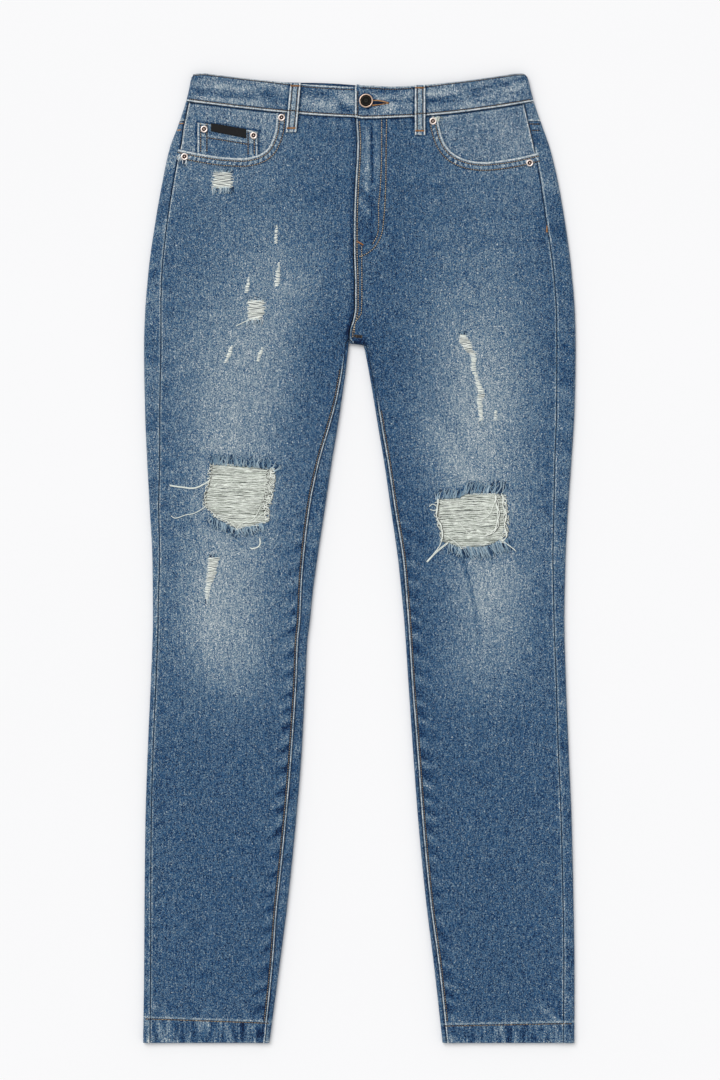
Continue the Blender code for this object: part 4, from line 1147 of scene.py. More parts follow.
def waistband():
    """One folded strip: from its plain end round the back to the buttoned end."""
    centre, arc = CENTRE[-1].front, np.radians(np.linspace(78, -78, 11))
    runs = [("under", along((-centre - 3.8, 27.8, 6.0))[::-1] + centre),
            ("under", -along((-centre + 1.2, 190, 1.45))), ("right", arc),
            ("back", along((-190, 190, 4.0))), ("left", arc[::-1]),
            ("over", along((centre, centre + 3, 0.5), (centre + 3, 30, 1.4), (30, 190, 1.4))[::-1])]
    reach, middle = BAND_STEPS[-1], np.arange(1, 20) / 20
    offset = np.concatenate([BAND_STEPS, 0 * middle + reach, 2 * reach - BAND_STEPS[::-1]])[:, None]
    share = np.concatenate([0 * BAND_STEPS, middle, 0 * BAND_STEPS + 1])[:, None]
    parts, kinds = [], []
    for run, value in runs:
        height = 1050.0 + 0 * share * value
        for _ in range(5):
            x, z, aside, way = band_cut(run, value + 0 * share, height)
            low = waist_seam(x, "back" if run == "back" else "front") + WAIST_TRIM
            tall = band_height(x, run) - WAIST_TRIM
            up = offset + (tall - 2 * reach) * share
            height = low + up
        # the top corners are rounded where the band folds over, and at its buttoned end
        side = half_width_at(x, height) - np.abs(x)
        height = height - 3.4 * bump(side / 2.6) * (up / tall) ** 4
        if run == "over":
            height = height - 3.2 * np.clip(1 - (x - centre) / 3.6, 0, 1) ** 2 * (up / tall) ** 5
        parts.append(np.stack([x, height, z, aside, way, up, tall - up], axis=2))
        kinds.append(np.full(x.shape, run))
    x, height, z, aside, way, up, down = np.moveaxis(np.concatenate(parts, axis=1), 2, 0)
    kinds = np.concatenate(kinds, axis=1)
    front = (kinds == "under") | (kinds == "over")
    rise, shade = creased(x, height, BAND_CREASES)
    base = np.where(x < 0, 100.0, 105.0) - 8 * bump((np.abs(x) - 190) / 16)
    look = Look(rise * front + 0.25 * bump((up - 8) / 5),
                base + np.where(front, 1.75 * shade, -22.0 + 6 * wobble(x / 17)))
    # the doubled cloth rolls over at both edges, worn white, with painted shadow in the seams beside
    # them, and dips at its stitching, dark there with painted shade
    look.sewn(up - BAND_ROW, dark=0.8)
    look.sewn(down - top_row(x), dark=0.75)
    # painted shadow along the belt loops
    look.toward(8.0, 0.85 * front * beside_loops(x, height))
    worn = 0.85 + 0.15 * wobble(x / 7.0)
    look.turned_edge(up - 0.15, worn, 0.4, 0.6, 236.0, 1.05)
    look.turned_edge(down + 0.3, 0.85 * worn * front, 0.2, 0.3, 220.0, 0.7)
    # the back's top edge, where it shows above the front, painted dark as shade
    look.toward(12.0, 0.9 * bump(down / 2.5) * ~front * (way > 0))
    # the shadow round the button
    ring = np.hypot(x - BUTTON_X, height - BUTTON_HEIGHT) - BUTTON_RADIUS
    look.toward(8.0, 0.85 * front * bump(ring - 0.6))
    # the buttoned end's own turned edge
    away = np.where(kinds == "over", x - centre, 99.0)
    look.sewn(away - 3.4, dark=0.8)
    look.turned_edge(away, 0.95, 0.3, 0.8, 226.0, 0.95)
    look.rise = np.where(front, look.rise, np.minimum(look.rise, 0))
    # the back's lining, where it shows above the front, is painted dark (14) as shade
    return wrapped("waistband", (x - aside * look.rise, height, z, aside, way), look, thick=BAND,
                   material=BAND_CLOTH, flip=True, lining=np.where(front, 128.0, 14.0))


# ---------------------------------------------------------------- small cloth pieces

def edge_spaced(length, step):
    """Shares of a length at even steps, with closer ones at both ends."""
    fine = np.array([0, 0.35, 0.7, 1.1, 1.5, 1.95, 2.4, 2.9])
    return np.concatenate([fine, along((3.6, length - 3.6, step)), length - fine[::-1]]) / length


def edge_grid(breadth, across_step, tall, up_step):
    """Shares across and up a patch."""
    return edge_spaced(breadth, across_step)[None, :], edge_spaced(tall, up_step)[:, None]


def from_edges(x, height):
    """How far each point of a grid is from its left, right, bottom and top edges."""
    run, up = (np.cumsum(np.hypot(np.diff(x, axis=axis), np.diff(height, axis=axis)), axis=axis)
               for axis in (1, 0))
    run, up = np.pad(run, ((0, 0), (1, 0))), np.pad(up, ((1, 0), (0, 0)))
    return run, run[:, -1:] - run, up, up[-1:] - up


# Where the coin pocket's sides and top lie on the right facing.
COIN_OUTLINE = [(-179.8, 970), (-179.8, 1014.0), (-111.6, 1003.6), (-111.6, 970)]


def pocket_facing(side):
    right = side == "right"
    nominal = along((FRONT_FREE, 1026, 2.0), (1026, TOP_ROW - 6, 1.4), (TOP_ROW - 6, TOP_ROW, 0.6))
    nominal = nominal[:, None]
    share = edge_spaced(120.0, 2.0)
    height = nominal + 0 * share
    for _ in range(5):
        start = (80.0 if right else 74.0) - inner_edge(side, "front", height)
        end = face_length(side, "front", height) - read_table(OUTSEAM, side, height) - GAP / 2
        distance = start + (end - start) * share
        x, z, aside, way = section(side, True, height, distance)
        height = squeezed(nominal, FRONT_FREE, TOP_ROW, waist_seam(x) - WAIST_TRIM)
    below = waist_seam(x) - height
    look = Look(0.25 * wobble(x / 16 - height / 25),
                (102.0 if right else 101.0) + 6 * wobble(x / 21 + height / 33))
    # painted shadow of the waistband, near black at the seam, with a pale worn rim just below it
    look.fade += 40 * bump(below - 2.6) - 16 * bump(below / 4.0)
    look.toward(0.0, 0.95 * bump(below / 1.2))
    look.turned_edge(end - distance, 0.9 if right else 0.75, 0.5, breadth=1.1)
    # the shadows that the front's edge and the coin pocket throw on it
    look.fade -= 30 * bump(gap_to(mouth_line(side), x, height) / 2.2)
    if right:
        look.toward(4.0, 0.9 * bump(gap_to(COIN_OUTLINE, x, height) / 1.5))
    spot = (x + aside * TUCK, height, z + way * TUCK, aside, way)
    return wrapped("pocket_facing_" + side, spot, look, thick=1.0, material=FACING_CLOTH, flip=right)


MOUTH_ROWS = (3.2, 8.8)              # stitches round a pocket's mouth
MOUTH_STEP = 0.7                     # between the columns of its turned edge


def pocket_hem(side):
    """The turned edge of a pocket mouth, puckered between its two rows of stitches, the puckers with
    painted light and shade, and a painted shadow where it tucks under its edge.
    """
    line = spaced(mouth_line(side), MOUTH_STEP)
    away = np.array([-0.9, -0.75, -0.3, 0.3, 0.9, 1.5, 2.2, 2.9, 3.4, 4.2, 5.3, 6.4, 7.5, 8.4,
                     8.9, 9.5, 10.3, 11.0])
    x, height = np.moveaxis([beside(line, SIDES[side] * step) for step in away], 2, 0)
    run, away = np.arange(len(line)) * MOUTH_STEP, away[:, None]
    wave = (np.sin(run / 0.80 + 0.5 * away + 2.2 * wobble(run / 9.0))
            * (0.7 + 0.3 * wobble(run / 14.0)))
    between = bump((away - 5.9) / 2.2)
    look = Look(0.55 * smoothstep((10.6 - away) / 1.6) + 0.24 * wave * between,
                front_wash_and_crease_shade(x, height).fade + 6 * smoothstep((10 - away) / 2)
                + (18 + 62 * wave) * between)
    for row in MOUTH_ROWS:
        look.sewn(away - row, dark=0.8)
    crown = bump((away - 0.7) / 1.1)
    look.rise += 0.45 * crown - 1.7 * smoothstep(0.1 - away)
    look.toward(224.0, 0.93 * crown * (0.9 + 0.1 * wobble(run / 5)))
    # painted shadow where the hem tucks under its edge
    look.toward(46.0, 0.7 * smoothstep((-0.45 - away) / 0.4))
    return patch("pocket_hem_" + side, x, height, front_level(x, height), look, thick=0.5)


COIN_ROWS = (3.8, 10.6)              # stitches down each side of the coin pocket
COIN_LEFT, COIN_WIDTH = -179.0, 66.5


def coin_pocket():
    """The small pocket on the right facing, down to the main pocket's mouth."""
    line = mouth_line("right")
    across, up_share = edge_grid(COIN_WIDTH, 0.8, 30.0, 0.9)
    x = COIN_LEFT + COIN_WIDTH * across + 0 * up_share
    low = np.interp(x, line[:, 0], line[:, 1]) - 1.5
    height = low + (1013.0 - across * 10.0 - low) * up_share
    left, right, _, down = from_edges(x, height)
    look = Look(0.2 * wobble(x / 12 + height / 9),
                84 + 14 * wobble(x / 9 + height / 14) + 10 * wobble(height / 5 - x / 17))
    for away in (left, right):
        look.turned_edge(away, 0.9, 0.4, pale=222.0)
        look.fade += (26 + 24 * wobble(height / 1.6 + 0.4 * away)) * bump((away - 7.0) / 2.0)
        for row in COIN_ROWS:
            look.sewn(away - row, dark=0.8)
    look.turned_edge(down, 0.8, 0.4)
    look.fade += 40 * bump((down - 13.3) / 1.2)
    look.sewn(down - 15.6, dark=0.7)
    return patch("coin_pocket", x, height, front_level(x, height), look)


def coin_label():
    """A bare strip of black tape sewn across the coin pocket."""
    across, up_share = edge_grid(38.5, 1.5, 8.5, 1.2)
    x = -164.0 + 39.0 * across + 0 * up_share
    top, low = 1012.0 - 6.6 * across, 1003.0 - 7.8 * across
    height = low + (top - low) * up_share
    edge = np.min(from_edges(x, height), axis=0)
    look = Look(0.62 + 0.35 * smoothstep(edge / 1.2) + 0.1 * wobble(x / 6), 60 + 0 * x)
    return patch("coin_label", x, height, front_level(x, height), look, thick=0.5, material=TAPE)


def fly_underlap():
    """The strip beneath the fly's edge that carries its closure."""
    across, up_share = edge_grid(40.0, 2.5, 129.0, 3.0)
    x, height = -12.0 + 40.0 * across + 0 * up_share, 885.0 + 129.0 * up_share + 0 * across
    look = Look(0 * x, 78 + 4 * wobble(height / 9))
    return patch("fly_underlap", x, height, front_level(x, height) - TUCK - GAP, look,
                 material=FACING_CLOTH)


def loop_grid(loop, across_share, up_share):
    seam = waist_seam(loop.top_x, loop.face)
    run = "back" if loop.face == "back" else "over" if loop.top_x > 0 else "under"
    tall = LOOP_FOOT + band_height(loop.top_x, run)
    height = seam - LOOP_FOOT + tall * up_share + 0 * across_share
    middle = loop.foot_x + (loop.top_x - loop.foot_x) * up_share
    return middle + LOOP_WIDTH * (across_share - 0.5), height


def belt_loop(loop):
    across, up_share = edge_grid(12.0, 1.0, 48.0, 1.2)
    x, height = loop_grid(loop, across, up_share)
    left, right, up, down = from_edges(x, height)
    look = Look(0.12 * wobble(height / 3.3 + loop.top_x), 134 + 14 * wobble(height / 4 + x))
    worn = 0.75 + 0.2 * wobble(height / 5.0 + loop.top_x)
    for away in (left, right):
        look.turned_edge(away, 1.1 * worn, 0.25, pale=240.0, breadth=1.05)
        look.sewn(away - 2.9, dark=0.85)
    for away in (up, down):
        look.rise -= 0.5 * bump(away / 0.8) + 0.5 * bump((away - 4.0) / 1.6)
        look.fade += 26 * bump((away - 1.2) / 0.8)
    if loop.face == "back":
        look.rise = look.rise.clip(-0.5, 0.4)
        look.fade -= 14
        return patch(loop.name, x, height, 0.45, look, facing=-1)
    z = 2 * BAND_FOLD + GAP + LOOP_THICK + LOOP_ARCH * np.sin(math.pi * up_share)
    return patch(loop.name, x, height, z, look, thick=LOOP_THICK)


POCKET_TOP, POCKET_POINT = 942.0, 798.0
BACK_POCKET = [(36, POCKET_TOP - 8), (166, POCKET_TOP), (160, POCKET_POINT + 24),
               (100, POCKET_POINT), (41, POCKET_POINT + 18)]


def back_pocket(side):
    """A plain five-sided patch on the back panel."""
    (a, top_a), (b, top_b), (c, low_c), (d, low_d), (e, low_e) = BACK_POCKET
    across, up_share = edge_grid(130.0, 4.0, 130.0, 4.0)
    low_x = e + (c - e) * across
    low = np.interp(low_x, [e, d, c], [low_e, low_d, low_c])
    x = low_x + (a + (b - a) * across - low_x) * up_share
    height = low + (top_a + (top_b - top_a) * across - low) * up_share
    look = Look(0.1 * wobble(x / 17) * wobble(height / 19),
                shaded_back(x, height) + 8 + 6 * wobble(x / 23 + height / 31))
    for away in from_edges(x, height):
        look.turned_edge(away, 0.55, 0.2, 0.3)
        look.fade += 10 * bump((away - 5.0) / 1.8)
    look.rise = look.rise.clip(-0.35, 0.3)
    return patch("back_pocket_" + side, x * SIDES[side], height, 0.4, look, facing=-1, thick=0.75)


# ---------------------------------------------------------------- metal

def turned(name, x, height, base, profile, segments, material):
    """A round piece from (radius, rise, shade) stations, bottom centre to top centre."""
    radius, rise, shade = np.array(profile, float).T
    turn = 2 * np.pi * np.arange(segments) / segments
    points = np.stack([x + radius[:, None] * np.cos(turn), height + radius[:, None] * np.sin(turn),
                       base + rise[:, None] + 0 * turn], axis=2)
    vertices = np.concatenate([points[0, :1], *points[1:-1], points[-1, :1]])
    shades = np.repeat(shade, [1, *[segments] * (len(profile) - 2), 1])
    a, b = 1 + np.arange(segments), 1 + (np.arange(segments) + 1) % segments
    corners = [(0 * a, b, a)]
    for low in segments * np.arange(len(profile) - 3):
        high = low + segments
        corners += [(a + low, b + low, b + high), (a + low, b + high, a + high)]
    last = segments * (len(profile) - 3)
    corners.append((a + last, b + last, 0 * a + len(vertices) - 1))
    item = make_object(name + "_metal", vertices, triangles_of(corners), material,
                       {"fade": shades / 255.0})
    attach(item, "root")
    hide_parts(name)


RIVETS = named_rows("name x height", [
    ("rivet_pocket_right_top", -86.2, 1018.0), ("rivet_pocket_right_side", -193.0, 975.0),
    ("rivet_pocket_left_top", 80.2, 1014.0), ("rivet_pocket_left_side", 186.6, 968.0),
    ("rivet_coin_outer", -171.4, 1005.2), ("rivet_coin_inner", -117.0, 998.3),
])
BUTTON_X, BUTTON_HEIGHT, BUTTON_RADIUS = 6.6, 1036.0, 7.8
DISH_RISE = 1.4                      # from the band up to the dish that the button's disc lies in


def rivets():
    # shades: a painted highlight on the rolled crown and the tip, painted shade in the hollow centre
    profile = [(0, 0, 120), (3.8, 0, 120), (4.05, 0.35, 170), (3.85, 0.9, 225), (3.3, 1.35, 235),
               (2.7, 1.3, 210), (2.1, 0.9, 60), (1.8, 0.4, 0), (1.0, 0.4, 0),
               (0.75, 0.7, 60), (0.45, 0.95, 190), (0, 1.0, 190)]
    for name, x, height in RIVETS:
        base = front_level(x, height) + GAP + 0.5
        turned(name, x, height, base, profile, 32, RIVET_METAL)


def button():
    """A shank button's cap: a rolled copper rim with a dull dented disc set in it."""
    base, dish = band_level(BUTTON_X) + GAP, BUTTON_RADIUS - 2.0
    # rim shades: a painted highlight on its rolled crest, and painted shade in the groove inside it
    rim = [(0, 0, 80), (6.2, 0, 80), (7.3, 0.5, 120), (BUTTON_RADIUS, 1.2, 170), (7.7, 1.8, 215),
           (7.2, 2.4, 240), (6.8, 2.6, 225), (6.4, 2.4, 110), (dish, 1.8, 10),
           (dish, DISH_RISE, 0), (0, DISH_RISE, 0)]
    core = [(0, 0, 0), (dish - 0.35, 0, 0), (dish - 0.3, 0.55, 40), (dish - 0.8, 0.85, 120),
            (dish - 1.5, 0.75, 50), (dish - 2.2, 0.6, 40), (2.2, 0.75, 60), (1.1, 0.95, 110),
            (0.7, 0.7, 40), (0, 0.65, 30)]
    turned("button_rim", BUTTON_X, BUTTON_HEIGHT, base, rim, 64, COPPER)
    turned("button_core", BUTTON_X, BUTTON_HEIGHT, base + DISH_RISE + GAP, core, 48, DARK_COPPER)


# ---------------------------------------------------------------- stitches

class Ground:
    """The sewn cloth, felt from above or from below."""

    def __init__(self, items):
        corners, faces, count = [], [], 0
        for item in items:
            mesh = item.data
            flat = np.empty(len(mesh.vertices) * 3, np.float32)
            mesh.vertices.foreach_get("co", flat)
            loops = np.empty(len(mesh.loops), np.int32)
            mesh.loops.foreach_get("vertex_index", loops)
            corners.append(flat.reshape(-1, 3))
            faces.append(loops.reshape(len(mesh.polygons), -1) + count)
            count += len(mesh.vertices)
        corners = np.concatenate(corners)
        self.tree = BVHTree.FromPolygons(corners.tolist(), np.concatenate(faces).tolist())

    def level(self, x, height, face="front", missed=2 * FOLD):
        up = face == "front"
        start = Vector(place((x, height, 60.0 if up else -20.0)))
        spot = self.tree.ray_cast(start, Vector((0, 0, -1 if up else 1)))[0]
        return missed if spot is None else spot.z / MM

    def lay(self, line, lift=0.3, face="front"):
        """The line of (x, height) points laid on the cloth, lift above it."""
        sign = 1 if face == "front" else -1
        return np.array([(x, h, self.level(x, h, face) + sign * lift) for x, h in line])


STITCH_ARCH = np.array([-0.30, 0.22, 0.36, 0.22, -0.30])
TACK_ARCH = np.array([-0.3, 0.3, 0.45, 0.3, -0.3])


class Sewing:
    """Stitches on one face of the garment, and the dark lines under their rows: unfaded cloth with the
    painted shade of their grooves.
    """

    def __init__(self, ground, face):
        self.ground, self.face = ground, face
        self.sign, self.pitch, self.step = (1, 2.6, 1.5) if face == "front" else (-1, 4.2, 2.6)
        self.thread, self.seats, self.tacks = Yarns(4), Yarns(5), Yarns(4)

    def row(self, line, shade, pitch=None, radius=0.50, share=0.50, seat=1.15, lift=0.0):
        """Lockstitches along a line: each rises from the cloth and dips back into it."""
        marks = spaced(line, (pitch or self.pitch) / 2)
        # a dark line sunk under the row, painted as the shade of its groove
        under = self.ground.lay(spaced(line, self.step), 0.55 + lift - seat, self.face)
        self.seats.add(under, seat, RANDOM.uniform(0, 10))
        for i in range(0, len(marks) - 2, 2):
            middle = marks[i + 1] + RANDOM.normal(0, 0.06, 2)
            a, b = (middle + (end - middle) * share for end in marks[[i, i + 2]])
            path = np.array([a, 0.72 * a + 0.28 * middle, middle, 0.72 * b + 0.28 * middle, b])
            path = self.ground.lay(path, 0.0, self.face)
            path[:, 2] = path[2, 2] + 0.5 * (path[:, 2] - path[2, 2])
            path[:, 2] += self.sign * (lift + STITCH_ARCH)
            self.thread.add(path, radius, shade + RANDOM.normal(0, 20))

    def tack(self, start, end, shade, breadth=1.7, yarns=None):
        """Close zigzag stitches over a line."""
        start, long = np.array(start, float), math.dist(start, end)
        way = (np.array(end) - start) / long
        side = np.array([-way[1], way[0]]) * breadth / 2
        for step in np.arange(0, long, 0.75):
            a = start + way * step
            path = self.ground.lay([a + share * side for share in (-1, -0.5, 0, 0.5, 1)], 0.0,
                                   self.face)
            path[:, 2] = path[2, 2] + self.sign * TACK_ARCH
            (yarns or self.tacks).add(path, 0.40, shade + RANDOM.normal(0, 24))

    def hem(self, side, radius):
        """The row that holds a leg's turned-up hem."""
        span = np.linspace(half_width(side, 0.0) - 3, inner_edge(side, "front", 20.0) + 3, 40)
        self.row(paired(span * SIDES[side], hem_line(side, span)), 150, 3.4, radius, share=0.8)

    def loop_rows(self, shares, shade, **options):
        for loop in LOOPS:
            for share in shares if loop.face == self.face else ():
                line = paired(*loop_grid(loop, share, np.linspace(0.09, 0.93, 8)))
                self.row(line, shade, **options)

    def loop_tacks(self):
        for loop in LOOPS:
            for share in (0.085, 0.945) if loop.face == self.face else ():
                self.tack(*paired(*loop_grid(loop, np.array([0.1, 0.9]), share)), 150)

    def built(self, slit=None):
        made = [self.thread.build(self.face + "_topstitching", TOPSTITCH, "denim"),
                self.seats.build(self.face + "_stitch_lines", WARP_AND_SHADE, "denim")]
        if slit:
            made.append(slit.build("buttonhole_slit", WARP_AND_SHADE, "denim"))
        return made + [self.tacks.build(self.face + "_bar_tacks", TACK, "denim")]


def inseam_line(side, away, low, high):
    """A line that runs up a front panel, away from its inner edge."""
    height = np.linspace(low, high, int((high - low) / 3))
    distance = read_table(INSEAM, side, height) + GAP / 2 + away
    return paired(section(side, True, height, distance)[0], height)


# A sharp fold that runs down from the left knee's hole, drawn as a dark line of painted shade.
KNEE_FOLD = [(113.6, 537), (118.8, 515), (128.4, 480), (133.4, 446)]
HOLE_HEIGHT = 1033.8                 # of the buttonhole


def front_stitches(ground):
    sewing = Sewing(ground, "front")
    # the painted shade in the sharp fold below the left knee
    fold = ground.lay(spaced(smooth_line(KNEE_FOLD, 6), 1.5), -0.4)
    sewing.seats.add(fold, np.linspace(0.75, 0.5, len(fold)), np.linspace(50, 100, len(fold)))
    x = np.linspace(-188, 188, 160)
    sewing.row(paired(x, waist_seam(x) + BAND_ROW), 150)
    for run, part in (("under", x[x < -4]), ("over", x[x > -1])):
        top = waist_seam(part) + band_height(part, run)
        flat = np.abs(part) < half_width_at(part, top) - 1.5
        sewing.row(paired(part, top - top_row(part))[flat], 150, radius=0.42)
    sewing.row([(-2.4, 1021), (-2.4, 1047)], 126)
    for side, top in INSEAM_STITCHED.items():
        for away in MOUTH_ROWS:
            sewing.row(beside(mouth_line(side), SIDES[side] * away), 205)
        sewing.row(inseam_line(side, 3.1, 24, top), 185, radius=0.42, seat=1.4, lift=0.3)
        sewing.hem(side, 0.52)
    for height in (1011.0, 1004.0):
        sewing.row([(186.0, height), (198.0, height)], 150)
    sewing.tack((-6.0, 778.0), (2.4, 777.0), 70, 3.4, sewing.thread)
    for away in COIN_ROWS:
        left, right = COIN_LEFT + away, COIN_LEFT + COIN_WIDTH - away
        sewing.row([(left, 1012), (left, 980.5)], 185)
        sewing.row([(right, 1003), (right, 977.5)], 185)
    sewing.row([(-168, 996.0), (-121.5, 988.4)], 168)
    height = np.linspace(1014, 776, 80)
    edge = read_table(CENTRE, "front", height) + 3.7
    sewing.row(paired(edge, height), 225, radius=0.52, seat=1.5, lift=0.35)
    for row in FLY_ROWS:
        sewing.row(smooth_line(row), 235)
    sewing.loop_rows((0.24, 0.76), 150, radius=0.40)
    sewing.loop_tacks()
    sewing.tack((-3.9, 882.2), (3.9, 877.8), 150)
    sewing.tack((205.5, 899.0), (205.5, 892.0), 170, 1.6)
    for x, height in ((-198.4, 1011.5), (-200.8, 1004.3)):
        sewing.tack((x, height), (x + 4.4, height + 0.4), 190, 0.9)
    # the keyhole of the buttonhole, past the button: dark tubes sunk in the cloth are the painted shade
    # in its slit
    slit = Yarns(5)
    for rise in (-3.6, -1.6, 0.8, 3.6):
        line = [(13.5, HOLE_HEIGHT + rise), (31.5, HOLE_HEIGHT - 0.1)]
        slit.add(ground.lay(spaced(line, 1.5), -0.7), 1.3, 4)
    for side in (-1.0, 1.0):
        for turn in range(2):
            away = side * (3.3 - 0.8 * turn)
            ends = RANDOM.normal(0, 0.3, 3)
            strand = [(13.5, HOLE_HEIGHT + away + ends[0]),
                      (22.5, HOLE_HEIGHT + 0.2 + 0.75 * away + ends[1]),
                      (31.8 - 1.2 * turn, HOLE_HEIGHT - 0.4 + 0.25 * side + 0.5 * ends[2])]
            path = ground.lay(spaced(smooth_line(strand), 1.2), 0.45)
            path[:, 2] += 0.3 * np.sin(np.arange(len(path)) * 1.9 + turn)
            sewing.tacks.add(path, 0.36, 130 + 90 * turn + RANDOM.normal(0, 20))
    return sewing.built(slit)


def back_stitches(ground):
    sewing = Sewing(ground, "back")
    x = np.linspace(-178, 178, 120)
    for up in (BAND_ROW, band_height(x, "back") - top_row(x)):
        sewing.row(paired(x, waist_seam(x, "back") + up), 110)
    for side, sign in SIDES.items():
        share = np.linspace(0.01, 0.97, 60)
        for down in (2.4, 8.6):
            height = yoke_seam(share) - down
            start = inner_edge(side, "back", height)
            x = sign * (start + share * (half_width(side, height) - start - 2))
            sewing.row(paired(x, height), 116)
        corners = np.array([(sign * x, h) for x, h in BACK_POCKET], float)
        ring = np.roll(corners, -1, axis=0)
        for line, away in ((ring, 2.2), (ring, 8.2), (corners[:2], -2.2), (corners[:2], -12.0)):
            sewing.row(beside(spaced(line, 1.0), sign * away), 122)
        sewing.hem(side, 0.5)
    height = np.linspace(956, 776, 60)
    for away in (2.6, 8.6):
        sewing.row(paired(read_table(CENTRE, "back", height) + away, height), 110)
    sewing.loop_rows((0.19, 0.81), 128, pitch=2.8, radius=0.34)
    sewing.loop_tacks()
    return sewing.built()


# ---------------------------------------------------------------- threads

# Worn patches: stations (x, height, breadth) down each.
RIPS = [
    [(-151, 958, 20), (-151, 949, 24), (-151, 941, 23)],
    [(-114.5, 817, 19), (-114, 806, 20), (-115.5, 796, 18)],
    [(-91.5, 900, 1.5), (-92, 890, 3.2), (-92.5, 880, 3.6)],
    [(-89, 859, 2), (-90, 848, 5), (-91, 838, 6), (-91.5, 833, 4)],
    [(-122.5, 842, 1.5), (-123.5, 833, 4), (-125, 826, 5)],
    [(-140.5, 768, 2.5), (-144, 758, 5), (-148, 749, 3)],
    [(-107.5, 765.5, 2), (-110, 758, 4.5), (-112.5, 751, 3)],
    [(-161, 534.6, 12.5), (-163, 517, 11.5), (-166, 507, 8), (-168, 497, 5.5), (-168, 487.5, 3.5)],
    [(112.3, 780, 8), (115, 772, 12), (120.4, 762, 11), (125.2, 757, 6), (125.2, 740, 5.5),
     (128.8, 730, 4), (134, 714, 10), (131.4, 708, 7), (132.6, 696, 5.5), (133, 685, 4)],
    [(149, 697, 3), (149, 686, 3)],
]
# Loose threads: points (x, height) from the hole outward.
LOOSE = [
    [(-165, 620), (-169, 616.6), (-182, 611), (-196, 612), (-210, 614)],
    [(-165, 619), (-170, 615.6), (-182, 610.2), (-196, 611.2), (-209, 613)],
    [(-170, 590), (-182, 583), (-192, 581), (-202.5, 577.5), (-208, 580)],
    [(-110, 555), (-109.7, 549), (-113, 545), (-120, 543.6)],
    [(-110.6, 556), (-110.3, 549), (-113.6, 545.4), (-120.6, 543.9)],
    [(-161, 581), (-150, 576), (-141, 571.6), (-136, 566)],
    [(-137.5, 564), (-130, 571.6), (-117, 577), (-109, 591)],
    [(-113, 577), (-106.5, 582.6), (-103, 577), (-100.8, 574.4)],
    [(98, 552), (84, 541), (73, 529.5)], [(97, 550), (84, 539.6), (74, 529)],
    [(92, 561), (88, 548), (80, 537), (74, 529.6)],
    [(157, 553), (163, 548), (170.5, 542.7)], [(154, 551), (161, 549.6), (172, 541)],
    [(76, 590), (80, 593), (84.5, 590), (83, 586), (77, 587)],
    [(-120, 796), (-128, 793), (-136.4, 788.7)],
    [(151, 603), (143, 582.6), (136, 576.7)],
    [(149.7, 592.4), (152, 574.8), (144, 561), (126, 558), (117.4, 563), (108.6, 572.8)],
    [(92, 559), (102.7, 553), (112.5, 543.5)],
]


# Frayed edges of the knee holes: a line, way and length of the ends, their spacing and curl.
FRINGES = named_rows("line way every curl", [
    ([(-164, 638), (-133, 635.5), (-96, 632)], (0.5, 10.0), 0.72, 3.0),
    ([(-98, 633), (-93, 629)], (7.5, 5.5), 0.8, 1.5),
    ([(-166, 578), (-152, 572), (-137, 565), (-121, 567.5), (-107, 572)], (1.0, -9.5), 0.68, 3.8),
    ([(82, 598.4), (111, 601)], (2.0, 10.5), 0.7, 2.0),
    ([(112, 603), (117, 605), (158, 605.5)], (4.0, 12.5), 0.7, 1.8),
    ([(104, 545), (138, 544.5), (163, 555)], (5.0, -13.0), 0.66, 1.8),
    ([(98, 549), (112, 543.5)], (-1.0, -9.0), 0.8, 1.6),
])
# Slack loops down the sides of the holes: (line, spacing, size).
CURLS = [
    ([(-96, 632), (-96.5, 619), (-98, 608), (-99.5, 597), (-103, 588), (-102, 575)], 1.5, 3.2),
    ([(-102, 630), (-102, 615), (-104, 600), (-107, 588)], 2.6, 2.6),
    ([(-164, 636), (-166, 622), (-170, 606), (-171.5, 592), (-160, 580)], 3.2, 1.7),
    ([(158, 602), (160, 590), (161, 577), (160, 562), (154, 552)], 2.0, 2.4),
    ([(85, 598), (84.5, 583), (88, 566), (90, 554)], 3.6, 1.6),
    ([(-160, 580), (-147, 573), (-136, 565)], 3.0, 1.6),
]
# Twisted threads that hang down the sides of the left knee's hole: (line, count, spread).
BUNDLES = [
    ([(86, 598.4), (84.5, 583), (89, 568), (91.5, 556)], 4, 0.8),
    ([(153.6, 604), (158.5, 596), (159.5, 577), (161, 562), (155.6, 552)], 5, 1.8),
    ([(148, 603), (151.5, 592), (152, 576), (149, 565), (138, 558)], 4, 1.2),
]


def span_at(outline, height):
    """Left and right ends of an outline at one height."""
    corners = list(outline) + [outline[0]]
    hits = [a[0] + (height - a[1]) / (b[1] - a[1]) * (b[0] - a[0])
            for a, b in zip(corners, corners[1:]) if (a[1] > height) != (b[1] > height)]
    return (min(hits), max(hits)) if len(hits) > 1 else None


# Layers of a knee's cross threads, from the lowest: the upper ones' threads are partly broken, and
# the lower layers' pale shade is lower, as painted shade under the upper ones.
WEB_LAYERS = named_rows("sunk pitch pale broken", [
    (2.0, 0.9, 192, 0.0), (1.3, 0.85, 236, 0.2), (0.5, 0.95, 248, 0.65),
])


